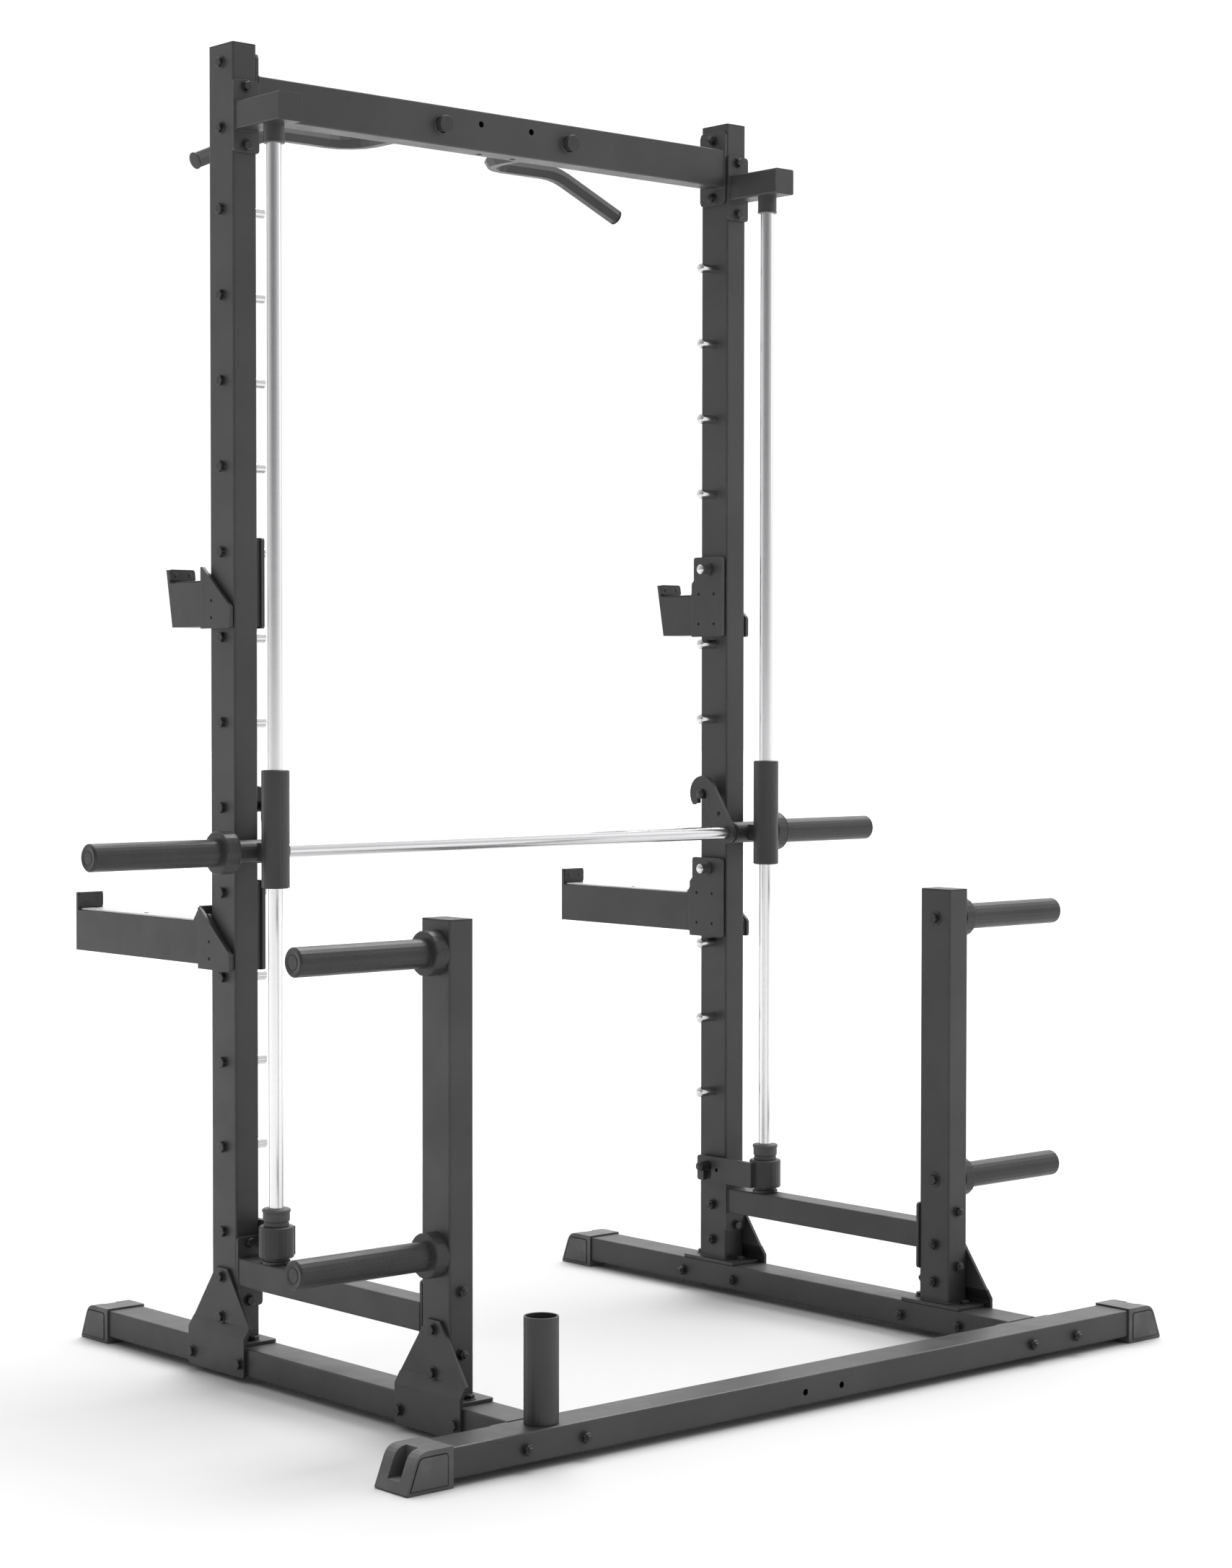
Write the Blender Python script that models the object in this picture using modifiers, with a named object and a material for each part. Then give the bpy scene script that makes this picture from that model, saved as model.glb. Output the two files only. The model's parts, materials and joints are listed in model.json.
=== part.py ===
"""Half rack with a guided bar: uprights with hanger pegs, guide rods, bar on carriages,
bar hooks, safety catches, J-hooks, spotter arms, storage posts and pull-up handles.

All sizes below are in millimetres, measured from the floor (Z), from the middle plane
between the uprights (X) and from the uprights' centre line (Y, + to the rear).
The helpers turn them into metres, and one empty moves the whole rack so that its
origin is the middle of its footprint on the floor.
"""
import math

import bmesh
import bpy
from mathutils import Matrix, Vector

MM = 0.001
GAP = 0.3            # between pieces that touch
WELD = 1e-6          # metres

# --- frame --------------------------------------------------------------------------
FRAME_X = 603.7      # uprights, posts and side tubes, centre from the middle plane
TUBE_NARROW = 50.0
TUBE_WIDE = 75.0
TUBE_WALL = 2.5
CORNER = 3.0
BASE_LOW, BASE_HIGH = 12.5, 62.5
PLATE = 6.0          # base plates and gussets
THIN_PLATE = 5.5     # end plates of tubes
UPRIGHT_DEPTH = 76.0
UPRIGHT_TOP = 2387.8
CAP_THICK = 2.5
POST_Y = -618.8
POST_TOP = 859.3
CROSS_FRONT, CROSS_REAR = -898.5, -823.5
CROSS_END = 859.0
SIDE_REAR = 412.0
LINK_LOW, LINK_HIGH = 167.5, 217.5
BRACKET_LOW, BRACKET_HIGH = 2231.3, 2281.3
BEAM_LOW, BEAM_HIGH = 2258.5, 2333.5
BEAM_FRONT, BEAM_REAR = -36.9, 13.1
HANDLE_X, HANDLE_Z, HANDLE_R = 156.0, 2297.0, 16.0
UPRIGHT_IN = FRAME_X - TUBE_NARROW / 2
UPRIGHT_OUT = FRAME_X + TUBE_NARROW / 2
UPRIGHT_BASE = BASE_HIGH + GAP + PLATE + GAP

# --- pegs ---------------------------------------------------------------------------
PEG_COUNT = 13
PEG_TOP = 2095.6
PEG_PITCH = 152.9
PEG_R = 9.4
PEG_TIP = 538.0
HEAD_R, HEAD_HEIGHT = 9.5, 8.0
PEG_BAR, PEG_JHOOK, PEG_SPOTTER, PEG_CATCH = 7, 4, 8, 12

# --- guide rods, carriages and bar ---------------------------------------------------
ROD_X, ROD_Y, ROD_R = 604.1, -128.4, 13.1
CARRIAGE_R, CARRIAGE_LOW, CARRIAGE_HIGH = 25.2, 886.5, 1093.5
BAR_Y, BAR_Z = -70.0, 948.3
SHAFT_R, BEARING_R = 13.0, 21.3
HOOK_IN, HOOK_OUT, BOSS_OUT = 545.8, 555.0, 564.0
RING_IN, RING_OUT, RING_R = 660.5, 692.0, 38.5
SLEEVE_R, SLEEVE_END = 24.5, 950.0
BAR_END = 953.0

# --- storage horns, bar holder ---------------------------------------------------------
HORN_HEIGHTS = {"upper": 803.1, "lower": 303.2}
HORN_R, HORN_RING_R, HORN_RING_END, HORN_END = 24.6, 38.0, 655.0, 915.6
HOLDER_X, HOLDER_Y, HOLDER_R, HOLDER_TOP = -603.7, -861.0, 28.7, 235.0

# --- the rack's box in Y, whose middle becomes the origin ------------------------------
NUT_FRONT = CROSS_FRONT - 8.0
SPOTTER_END = 485.0
RACK_SHIFT = Vector((0.0, -(NUT_FRONT + SPOTTER_END) / 2, 0.0)) * MM

SIDES = {"left": -1, "right": 1}
MATERIALS = {
    "frame_paint": ((0.085, 0.085, 0.088, 1), 0.55, 0.0),
    "chrome": ((0.80, 0.80, 0.81, 1), 0.15, 1.0),
    "sleeve_coat": ((0.05, 0.05, 0.052, 1), 0.5, 0.0),
    "rubber": ((0.035, 0.035, 0.037, 1), 0.8, 0.0),
    "black_plastic": ((0.025, 0.025, 0.026, 1), 0.55, 0.0),
    "wear_strip": ((0.55, 0.55, 0.56, 1), 0.4, 0.6),
}


# --- helpers ---------------------------------------------------------------------------

def peg_z(index):
    return PEG_TOP - index * PEG_PITCH


def make_collection(name):
    collection = bpy.data.collections.new(name)
    bpy.context.scene.collection.children.link(collection)
    return collection


def make_materials():
    made = {}
    for name, (colour, roughness, metallic) in MATERIALS.items():
        material = bpy.data.materials.new(name)
        material.use_nodes = True
        shader = material.node_tree.nodes["Principled BSDF"]
        shader.inputs["Base Color"].default_value = colour
        shader.inputs["Roughness"].default_value = roughness
        shader.inputs["Metallic"].default_value = metallic
        made[name] = material
    return made


def settle(source):
    """Swap an object for a plain welded mesh of its evaluated shape, in rack space."""
    bpy.context.view_layer.update()
    evaluated = source.evaluated_get(bpy.context.evaluated_depsgraph_get())
    mesh = bpy.data.meshes.new_from_object(evaluated)
    mesh.transform(source.matrix_world)
    shape = bmesh.new()
    shape.from_mesh(mesh)
    bmesh.ops.remove_doubles(shape, verts=shape.verts, dist=WELD)
    bmesh.ops.recalc_face_normals(shape, faces=shape.faces)
    shape.to_mesh(mesh)
    shape.free()
    bpy.data.objects.remove(source)
    settled = bpy.data.objects.new("solid", mesh)
    bpy.context.scene.collection.objects.link(settled)
    return settled


AXIS_TURN = {
    "X": Matrix(((0, 0, 1), (1, 0, 0), (0, 1, 0))).to_4x4(),     # outline is (Y, Z)
    "Y": Matrix(((1, 0, 0), (0, 0, -1), (0, 1, 0))).to_4x4(),    # outline is (X, Z)
    "Z": Matrix.Identity(4),                                     # outline is (X, Y)
}
AXIS_SIGN = {"X": 1, "Y": -1, "Z": 1}


def extruded(axis, outline, low, high, holes=()):
    """A flat outline with holes, given thickness from low to high along an axis."""
    curve = bpy.data.curves.new("outline", "CURVE")
    curve.dimensions = "2D"
    curve.fill_mode = "BOTH"
    curve.extrude = abs(high - low) / 2 * MM
    for loop in (outline, *holes):
        spline = curve.splines.new("POLY")
        spline.points.add(len(loop) - 1)
        for point, (u, v) in zip(spline.points, loop):
            point.co = (u * MM, v * MM, 0, 1)
        spline.use_cyclic_u = True
    solid = bpy.data.objects.new("outline", curve)
    bpy.context.scene.collection.objects.link(solid)
    middle = AXIS_SIGN[axis] * (low + high) / 2 * MM
    solid.matrix_world = AXIS_TURN[axis] @ Matrix.Translation((0, 0, middle))
    return settle(solid)


def turned(axis, centre, profile, steps=24, closed=False):
    """A profile of (radius, place) pairs, outer side first, turned about an axis."""
    mesh = bpy.data.meshes.new("profile")
    points = [(radius * MM, 0, place * MM) for radius, place in profile]
    edges = [(i, i + 1) for i in range(len(points) - 1)]
    if closed:
        edges.append((len(points) - 1, 0))
    mesh.from_pydata(points, edges, [])
    solid = bpy.data.objects.new("profile", mesh)
    bpy.context.scene.collection.objects.link(solid)
    screw = solid.modifiers.new("turn", "SCREW")
    screw.steps = screw.render_steps = steps
    screw.use_merge_vertices = True
    screw.merge_threshold = WELD
    turn = {"X": Matrix.Rotation(math.pi / 2, 4, "Y"), "Z": Matrix.Identity(4)}[axis]
    solid.matrix_world = Matrix.Translation(Vector(centre) * MM) @ turn
    return settle(solid)


def ring(axis, centre, outer, inner, low, high, steps=24):
    """A plain bush or tube between two places along its axis."""
    profile = [(outer, high), (outer, low), (inner, low), (inner, high)]
    return turned(axis, centre, profile, steps, closed=True)


def rod(axis, centre, radius, low, high, steps=24):
    profile = [(0, high), (radius, high), (radius, low), (0, low)]
    return turned(axis, centre, profile, steps)


def rounded(u_low, u_high, v_low, v_high, radius=CORNER, steps=2):
    """A rectangle with round corners, as points."""
    corners = (
        (u_high - radius, v_high - radius, 0),
        (u_low + radius, v_high - radius, 90),
        (u_low + radius, v_low + radius, 180),
        (u_high - radius, v_low + radius, 270),
    )
    points = []
    for u, v, start in corners:
        points += arc(u, v, radius, start, start + 90, steps)
    return points


def arc(u, v, radius, start, end, steps):
    """Points along an arc, with both ends."""
    turns = [math.radians(start + (end - start) * i / steps) for i in range(steps + 1)]
    return [(u + radius * math.cos(t), v + radius * math.sin(t)) for t in turns]


def vent(u, v):
    """The coating's drain hole in a plate that would seal a tube."""
    radius = 8.0
    return arc(u, v, radius, 0, 315, 7)


def rectangle(u_low, u_high, v_low, v_high):
    return [(u_low, v_low), (u_high, v_low), (u_high, v_high), (u_low, v_high)]


def tube(axis, section, low, high):
    """A rectangular steel tube, open at both ends."""
    u_low, u_high, v_low, v_high = section
    bore = rectangle(
        u_low + TUBE_WALL, u_high - TUBE_WALL, v_low + TUBE_WALL, v_high - TUBE_WALL)
    return extruded(axis, rounded(*section), low, high, holes=[bore])


def block(x_low, x_high, y_low, y_high, z_low, z_high):
    """A box between corners, from a cube primitive."""
    mesh = bpy.data.meshes.new("block")
    shape = bmesh.new()
    bmesh.ops.create_cube(shape, size=1.0)
    size = Vector((x_high - x_low, y_high - y_low, z_high - z_low)) * MM
    middle = Vector((x_low + x_high, y_low + y_high, z_low + z_high)) * MM / 2
    bmesh.ops.transform(shape, matrix=Matrix.LocRotScale(middle, None, size), verts=shape.verts)
    shape.to_mesh(mesh)
    shape.free()
    solid = bpy.data.objects.new("block", mesh)
    bpy.context.scene.collection.objects.link(solid)
    return solid


def hexagon(axis, centre, corner_radius, low, high):
    """A bolt head or nut: a six-sided prism."""
    turn = {"X": Matrix.Rotation(math.pi / 2, 4, "Y"), "Y": Matrix.Rotation(-math.pi / 2, 4, "X")}
    mesh = bpy.data.meshes.new("hexagon")
    shape = bmesh.new()
    bmesh.ops.create_cone(
        shape, cap_ends=True, segments=6, depth=(high - low) * MM,
        radius1=corner_radius * MM, radius2=corner_radius * MM)
    middle = Matrix.Translation((0, 0, (low + high) / 2 * MM))
    place = Matrix.Translation(Vector(centre) * MM) @ turn[axis] @ middle
    bmesh.ops.transform(shape, matrix=place, verts=shape.verts)
    shape.to_mesh(mesh)
    shape.free()
    solid = bpy.data.objects.new("hexagon", mesh)
    bpy.context.scene.collection.objects.link(solid)
    return solid


def across(side, near, far):
    """The two X places, in rising order, of a piece between two distances on one side."""
    return sorted((side * near, side * far))


class Rack:
    """Collects the rack's pieces, their cutters and their parents."""

    def __init__(self):
        self.parts = make_collection("smith_half_rack")
        self.cutters = make_collection("cutters")
        self.materials = make_materials()
        self.root = self.make_empty("rack_origin", (0, 0, 0), None)

    def make_empty(self, name, place, parent):
        empty = bpy.data.objects.new(name, None)
        empty.location = Vector(place) * MM
        empty.parent = parent
        self.parts.objects.link(empty)
        return empty

    def combine(self, solid, operation, tools):
        """Boolean the tools into a solid; they stay as hidden guides."""
        for tool in tools:
            step = solid.modifiers.new(operation.lower(), "BOOLEAN")
            step.operation = operation
            step.solver = "EXACT"
            step.object = tool
            tool.hide_render = True
            tool.display_type = "WIRE"
            tool.parent = self.root
            for collection in list(tool.users_collection):
                collection.objects.unlink(tool)
            self.cutters.objects.link(tool)

    def join(self, solid, *tools):
        self.combine(solid, "UNION", tools)

    def cut(self, solid, *tools):
        self.combine(solid, "DIFFERENCE", tools)

    def add(self, name, solid, material, axis_point=(0, 0, 0), parent=None):
        """Name a finished piece, move its origin to a point, and parent it."""
        solid.name = name
        solid.data.name = name
        parent = parent or self.root
        origin = Vector(axis_point) * MM
        solid.data.transform(Matrix.Translation(-origin))
        parent_place = parent.location if parent is not self.root else Vector()
        solid.location = origin - parent_place
        solid.parent = parent
        solid.data.materials.clear()
        solid.data.materials.append(self.materials[material])
        solid.data.shade_smooth()
        solid.data.set_sharp_from_angle(angle=math.radians(35))
        for collection in list(solid.users_collection):
            collection.objects.unlink(solid)
        self.parts.objects.link(solid)
        return solid


# --- frame ------------------------------------------------------------------------------

def build_upright(rack, name, side):
    low, high = across(side, UPRIGHT_IN, UPRIGHT_OUT)
    half = UPRIGHT_DEPTH / 2
    top = UPRIGHT_TOP - CAP_THICK - GAP
    upright = tube("Z", (low, high, -half, half), UPRIGHT_BASE, top)
    for index in range(PEG_COUNT):
        height = peg_z(index)
        peg = build_peg(side, height)
        head = hexagon("X", (0, 0, height), HEAD_R, *across(
            side, UPRIGHT_OUT - 1.0, UPRIGHT_OUT + HEAD_HEIGHT))
        rack.join(upright, peg, head)
    rack.add(f"upright_{name}", upright, "frame_paint")
    cap = extruded("Z", rounded(low, high, -half, half), UPRIGHT_TOP - CAP_THICK, UPRIGHT_TOP)
    rack.add(f"upright_cap_{name}", cap, "black_plastic")


def build_peg(side, height):
    """A hanger peg: its bolt runs through the tube to the head outside."""
    bolt_r, chamfer = 5.0, 2.0
    wall = UPRIGHT_IN + TUBE_WALL / 2
    profile = [
        (0, side * PEG_TIP),
        (PEG_R - chamfer, side * PEG_TIP),
        (PEG_R, side * (PEG_TIP + chamfer)),
        (PEG_R, side * wall),
        (bolt_r, side * wall),
        (bolt_r, side * (UPRIGHT_OUT + 1.0)),
        (0, side * (UPRIGHT_OUT + 1.0)),
    ]
    return turned("X", (0, 0, height), profile, steps=8)


def build_post(rack, name, side):
    low, high = across(side, UPRIGHT_IN, UPRIGHT_OUT)
    front, rear = POST_Y - TUBE_WIDE / 2, POST_Y + TUBE_WIDE / 2
    post = tube("Z", (low, high, front, rear), UPRIGHT_BASE, POST_TOP - CAP_THICK - GAP)
    rack.add(f"post_{name}", post, "frame_paint")
    cap = extruded("Z", rounded(low, high, front, rear), POST_TOP - CAP_THICK, POST_TOP)
    rack.add(f"post_cap_{name}", cap, "black_plastic")
    for level, height in HORN_HEIGHTS.items():
        rack.add(f"storage_horn_{level}_{name}", build_horn(side, height), "sleeve_coat")


def build_horn(side, height):
    """A weight horn: thick flange, tube closed at its outer end."""
    wall, edge = 3.0, 2.0
    root = UPRIGHT_OUT + GAP
    profile = [
        (0, side * HORN_END),
        (HORN_R - edge, side * HORN_END),
        (HORN_R, side * (HORN_END - edge)),
        (HORN_R, side * HORN_RING_END),
        (HORN_RING_R - edge, side * HORN_RING_END),
        (HORN_RING_R, side * (HORN_RING_END - edge)),
        (HORN_RING_R, side * root),
        (HORN_R - wall, side * root),
        (HORN_R - wall, side * (HORN_END - wall)),
        (0, side * (HORN_END - wall)),
    ]
    return turned("X", (0, POST_Y, height), profile, steps=20)


def build_base(rack):
    """The cross tube at the front, with its nuts, and the two side tubes."""
    cross = tube("X", (CROSS_FRONT, CROSS_REAR, BASE_LOW, BASE_HIGH), -CROSS_END, CROSS_END)
    nut_offset, nut_z, hole_r, hole_x = 61.0, 36.0, 6.0, 44.0
    for side in SIDES.values():
        for offset in (-nut_offset, nut_offset):
            x = side * FRAME_X + offset
            rack.join(cross, hexagon("Y", (x, 0, nut_z), HEAD_R, NUT_FRONT, CROSS_FRONT + 1.0))
        bore = extruded("Y", arc(side * hole_x, nut_z - 1.5, hole_r, 0, 330, 11),
                        CROSS_FRONT - 5.0, CROSS_FRONT + 5.0)
        rack.cut(cross, bore)
    rack.add("cross_tube", cross, "frame_paint")
    for name, side in SIDES.items():
        build_side_tube(rack, name, side)


def build_side_tube(rack, name, side):
    middle = side * FRAME_X
    plate_rear = CROSS_REAR + GAP + THIN_PLATE
    section = (middle - TUBE_WIDE / 2, middle + TUBE_WIDE / 2, BASE_LOW, BASE_HIGH)
    side_tube = tube("Y", section, plate_rear - 1.0, SIDE_REAR)
    plate = extruded("Y", rounded(middle - 75, middle + 75, BASE_LOW, 61.0, 5.0),
                     CROSS_REAR + GAP, plate_rear)
    rack.join(side_tube, plate)
    rack.add(f"side_tube_{name}", side_tube, "frame_paint")
    feet = {"upright": (0.0, 75.0), "post": (POST_Y, 76.0)}
    for where, (y, half) in feet.items():
        base = extruded("Z", rounded(middle - TUBE_WIDE / 2, middle + TUBE_WIDE / 2,
                                     y - half, y + half, 4.0),
                        BASE_HIGH + GAP, BASE_HIGH + GAP + PLATE)
        rack.add(f"{where}_base_plate_{name}", base, "frame_paint")
        rack.add(f"{where}_gusset_{name}", build_gusset(side, y), "frame_paint")


def build_gusset(side, y):
    """A joggled gusset: narrow top on the post, wide bottom on the side tube."""
    top, shoulder, knee, low, cut = 195.0, 97.0, 77.0, 10.0, 5.0
    top_half, foot_half, corner = 20.7, 88.0, 4.0
    upper = UPRIGHT_OUT + GAP
    lower = FRAME_X + TUBE_WIDE / 2 + GAP
    section = [(upper, top), (upper, shoulder), (lower, knee), (lower, low),
               (lower + PLATE, low), (lower + PLATE, knee + 2.0), (upper + PLATE, shoulder + 2.0),
               (upper + PLATE, top)]
    strip = extruded("Y", [(side * x, z) for x, z in section], y - foot_half, y + foot_half)
    shape = [(y + top_half - corner, top + 1), (y - top_half + corner, top + 1),
             (y - top_half, top - corner), (y - foot_half, shoulder), (y - foot_half, low + cut),
             (y - foot_half + cut, low - 1), (y + foot_half - cut, low - 1),
             (y + foot_half, low + cut), (y + foot_half, shoulder), (y + top_half, top - corner)]
    template = extruded("X", shape, *across(side, upper - 5.0, lower + PLATE + 5.0))
    trim = strip.modifiers.new("trim", "BOOLEAN")
    trim.operation = "INTERSECT"
    trim.solver = "EXACT"
    trim.object = template
    solid = settle(strip)
    bpy.data.objects.remove(template)
    return solid


def build_link(rack, name, side):
    """The low tube between upright and post, with its end plates."""
    low, high = across(side, UPRIGHT_IN, UPRIGHT_OUT)
    middle = side * FRAME_X
    rear = -UPRIGHT_DEPTH / 2 - GAP
    front = POST_Y + TUBE_WIDE / 2 + GAP
    plate_inner, plate_outer = FRAME_X - 28.5, UPRIGHT_OUT
    plate_low, plate_high = 128.0, 255.0
    link = tube("Y", (low, high, LINK_LOW, LINK_HIGH), front + 1.0, rear - 1.0)
    outline = rounded(*across(side, plate_inner, plate_outer), plate_low, plate_high, 6.0)
    vents = [vent(middle, (LINK_LOW + LINK_HIGH) / 2)]
    rack.join(link, extruded("Y", outline, rear - THIN_PLATE, rear, vents),
              extruded("Y", outline, front, front + THIN_PLATE, vents))
    rack.add(f"link_tube_{name}", link, "frame_paint")


def build_rod_bracket(rack, name, side):
    """The arm at the top of the upright that holds the guide rod in a collar."""
    low, high = across(side, UPRIGHT_IN, UPRIGHT_OUT)
    middle = side * FRAME_X
    rear = -UPRIGHT_DEPTH / 2 - GAP
    arm_end, cap = -178.1, 3.0
    plate_half, plate_low, plate_high = 27.5, 2192.5, 2321.3
    collar_r, collar_low, lip = 18.6, 2198.5, 2.0
    arm = tube("Y", (low, high, BRACKET_LOW, BRACKET_HIGH), arm_end + 1.0, rear - 1.0)
    end = extruded("Y", rounded(low, high, BRACKET_LOW, BRACKET_HIGH), arm_end, arm_end + cap)
    outline = rounded(middle - plate_half, middle + plate_half, plate_low, plate_high, 6.0)
    vents = [vent(middle, (BRACKET_LOW + BRACKET_HIGH) / 2)]
    plate = extruded("Y", outline, rear - THIN_PLATE, rear, vents)
    bore_r = ROD_R + GAP
    collar = turned("Z", (side * ROD_X, ROD_Y, 0), [
        (collar_r, BRACKET_LOW + 1.0), (collar_r, collar_low + lip + 1.0),
        (collar_r + 0.8, collar_low + lip), (collar_r + 0.8, collar_low), (bore_r, collar_low),
        (bore_r, BRACKET_LOW + 1.0)], closed=True)
    rack.join(arm, end, plate, collar)
    rack.add(f"rod_bracket_{name}", arm, "frame_paint")


def build_beam(rack):
    """The top beam, its end plates, the handles' holes and the four spare holes."""
    end_x = UPRIGHT_IN - GAP
    half = 37.0
    plate_low, plate_high = 2225.0, 2374.0
    beam = tube("X", (BEAM_FRONT, BEAM_REAR, BEAM_LOW, BEAM_HIGH), 1 - end_x, end_x - 1)
    for side in SIDES.values():
        outline = rounded(-half, half, plate_low, plate_high, 10.0)
        rack.join(beam, extruded("X", outline, *across(side, end_x - THIN_PLATE, end_x)))
    front_hole_x, front_hole_z, low_hole_x, low_hole_y, spare_r = 61.7, 2308.7, 41.0, -4.2, 6.2
    for side in SIDES.values():
        rack.cut(
            beam,
            extruded("Y", arc(side * HANDLE_X, HANDLE_Z, HANDLE_R + GAP, 0, 345, 23),
                     BEAM_FRONT - 5.0, BEAM_REAR + 5.0),
            extruded("Y", arc(side * front_hole_x, front_hole_z, spare_r, 0, 330, 11),
                     BEAM_FRONT - 5.0, BEAM_FRONT + 5.0),
            extruded("Z", arc(side * low_hole_x, low_hole_y, spare_r, 0, 330, 11),
                     BEAM_LOW - 5.0, BEAM_LOW + 5.0))
    rack.add("top_beam", beam, "frame_paint")


def build_handle(rack, name, side):
    """A bent pull-up handle: through the beam, out sideways, then a sloping grip."""
    front, rear, bend_r, bend_steps = -50.0, 242.0, 65.0, 4
    grip_x, grip_end_x, grip_end_z = 355.0, 522.0, 2224.0
    wall = 2.5
    path = [(HANDLE_X, front, HANDLE_Z)]
    for x, y in arc(HANDLE_X + bend_r, rear - bend_r, bend_r, 180, 90, bend_steps):
        path.append((x, y, HANDLE_Z))
    path += grip_bend(grip_x, grip_end_x, grip_end_z, rear)
    path.append((grip_end_x, rear, grip_end_z))
    curve = bpy.data.curves.new("handle", "CURVE")
    curve.dimensions = "3D"
    curve.bevel_depth = HANDLE_R * MM
    curve.bevel_resolution = 1
    curve.use_fill_caps = False
    curve.twist_mode = "MINIMUM"
    spline = curve.splines.new("POLY")
    spline.points.add(len(path) - 1)
    for point, (x, y, z) in zip(spline.points, path):
        point.co = (side * x * MM, y * MM, z * MM, 1)
    handle = bpy.data.objects.new("handle", curve)
    bpy.context.scene.collection.objects.link(handle)
    handle = settle(handle)
    shell = handle.modifiers.new("wall", "SOLIDIFY")
    shell.thickness = wall * MM
    shell.offset = -1
    rack.add(f"pullup_handle_{name}", handle, "frame_paint")


def grip_bend(x, end_x, end_z, y):
    """The gentle bend where a handle turns down to its grip."""
    reach = 30.0
    slope = Vector((end_x - x, end_z - HANDLE_Z)).normalized()
    start, corner = Vector((x - reach, HANDLE_Z)), Vector((x, HANDLE_Z))
    finish = corner + slope * reach
    points = []
    for step in range(4):
        t = step / 3
        place = start * (1 - t) ** 2 + corner * 2 * t * (1 - t) + finish * t ** 2
        points.append((place.x, y, place.y))
    return points


def build_foot_caps(rack):
    """Rubber end caps of the base tubes: a pocket for the tube, a sloping, hollowed end."""
    for name, side in SIDES.items():
        rear = build_foot_cap(rack, "Y", side * FRAME_X, SIDE_REAR, 1)
        rack.add(f"foot_cap_rear_{name}", rear, "rubber")
        centre = (CROSS_FRONT + CROSS_REAR) / 2
        front = build_foot_cap(rack, "X", centre, side * CROSS_END, side)
        rack.add(f"foot_cap_front_{name}", front, "rubber")


def build_foot_cap(rack, along, middle, tube_end, way):
    """One cap on a tube that runs along an axis and ends at a place, facing one way."""
    wall, top, length, grip, slope, bend, steps = 3.5, 66.0, 92.0, 44.0, 25.0, 18.0, 4
    inboard = -grip
    end = length - grip
    tip, crest = Vector((end, 3.0)), Vector((end - slope, top))
    down = (tip - crest).normalized()
    side_view = [(inboard, 0), (end - 2.0, 0), (end, 3.0)]
    for step in range(steps + 1):
        t = step / steps
        place = (crest + down * bend) * (1 - t) ** 2 + crest * 2 * t * (1 - t)
        place += (crest - Vector((bend, 0))) * t ** 2
        side_view.append((place.x, place.y))
    side_view.append((inboard, top))
    half = TUBE_WIDE / 2 + wall
    outline = [(tube_end + way * run, rise) for run, rise in side_view]
    web, groove_half, groove_low, past = 4.5, 15.5, 19.0, 5.0
    pocket = sorted((tube_end - way * (grip + past), tube_end + way * GAP))
    recess = sorted((tube_end + way * web, tube_end + way * (end + past)))
    pocket_width = (middle - TUBE_WIDE / 2 - GAP, middle + TUBE_WIDE / 2 + GAP)
    groove = (middle - groove_half, middle + groove_half)
    pocket_rise, groove_rise = (BASE_LOW - GAP, BASE_HIGH + GAP), (groove_low, top + past)
    if along == "Y":
        cap = extruded("X", outline, middle - half, middle + half)
        rack.cut(cap, block(*pocket_width, *pocket, *pocket_rise),
                 block(*groove, *recess, *groove_rise))
    else:
        cap = extruded("Y", outline, middle - half, middle + half)
        rack.cut(cap, block(*pocket, *pocket_width, *pocket_rise),
                 block(*recess, *groove, *groove_rise))
    return cap


def build_holder(rack):
    wall = 3.0
    base = BASE_HIGH + GAP
    holder = ring("Z", (HOLDER_X, HOLDER_Y, 0), HOLDER_R, HOLDER_R - wall, base, HOLDER_TOP)
    rack.add("bar_holder", holder, "frame_paint")


# --- rods, catches, carriages and bar ----------------------------------------------------

def build_rod(rack, name, side):
    centre = (side * ROD_X, ROD_Y, 0)
    bore_r = 10.0
    guide = ring("Z", centre, ROD_R, bore_r, LINK_HIGH + GAP, BRACKET_LOW - GAP)
    rack.add(f"guide_rod_{name}", guide, "chrome")
    collar = ring("Z", centre, 25.0, ROD_R + GAP, LINK_HIGH + GAP, 223.0)
    rack.add(f"rod_collar_{name}", collar, "frame_paint")


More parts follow.
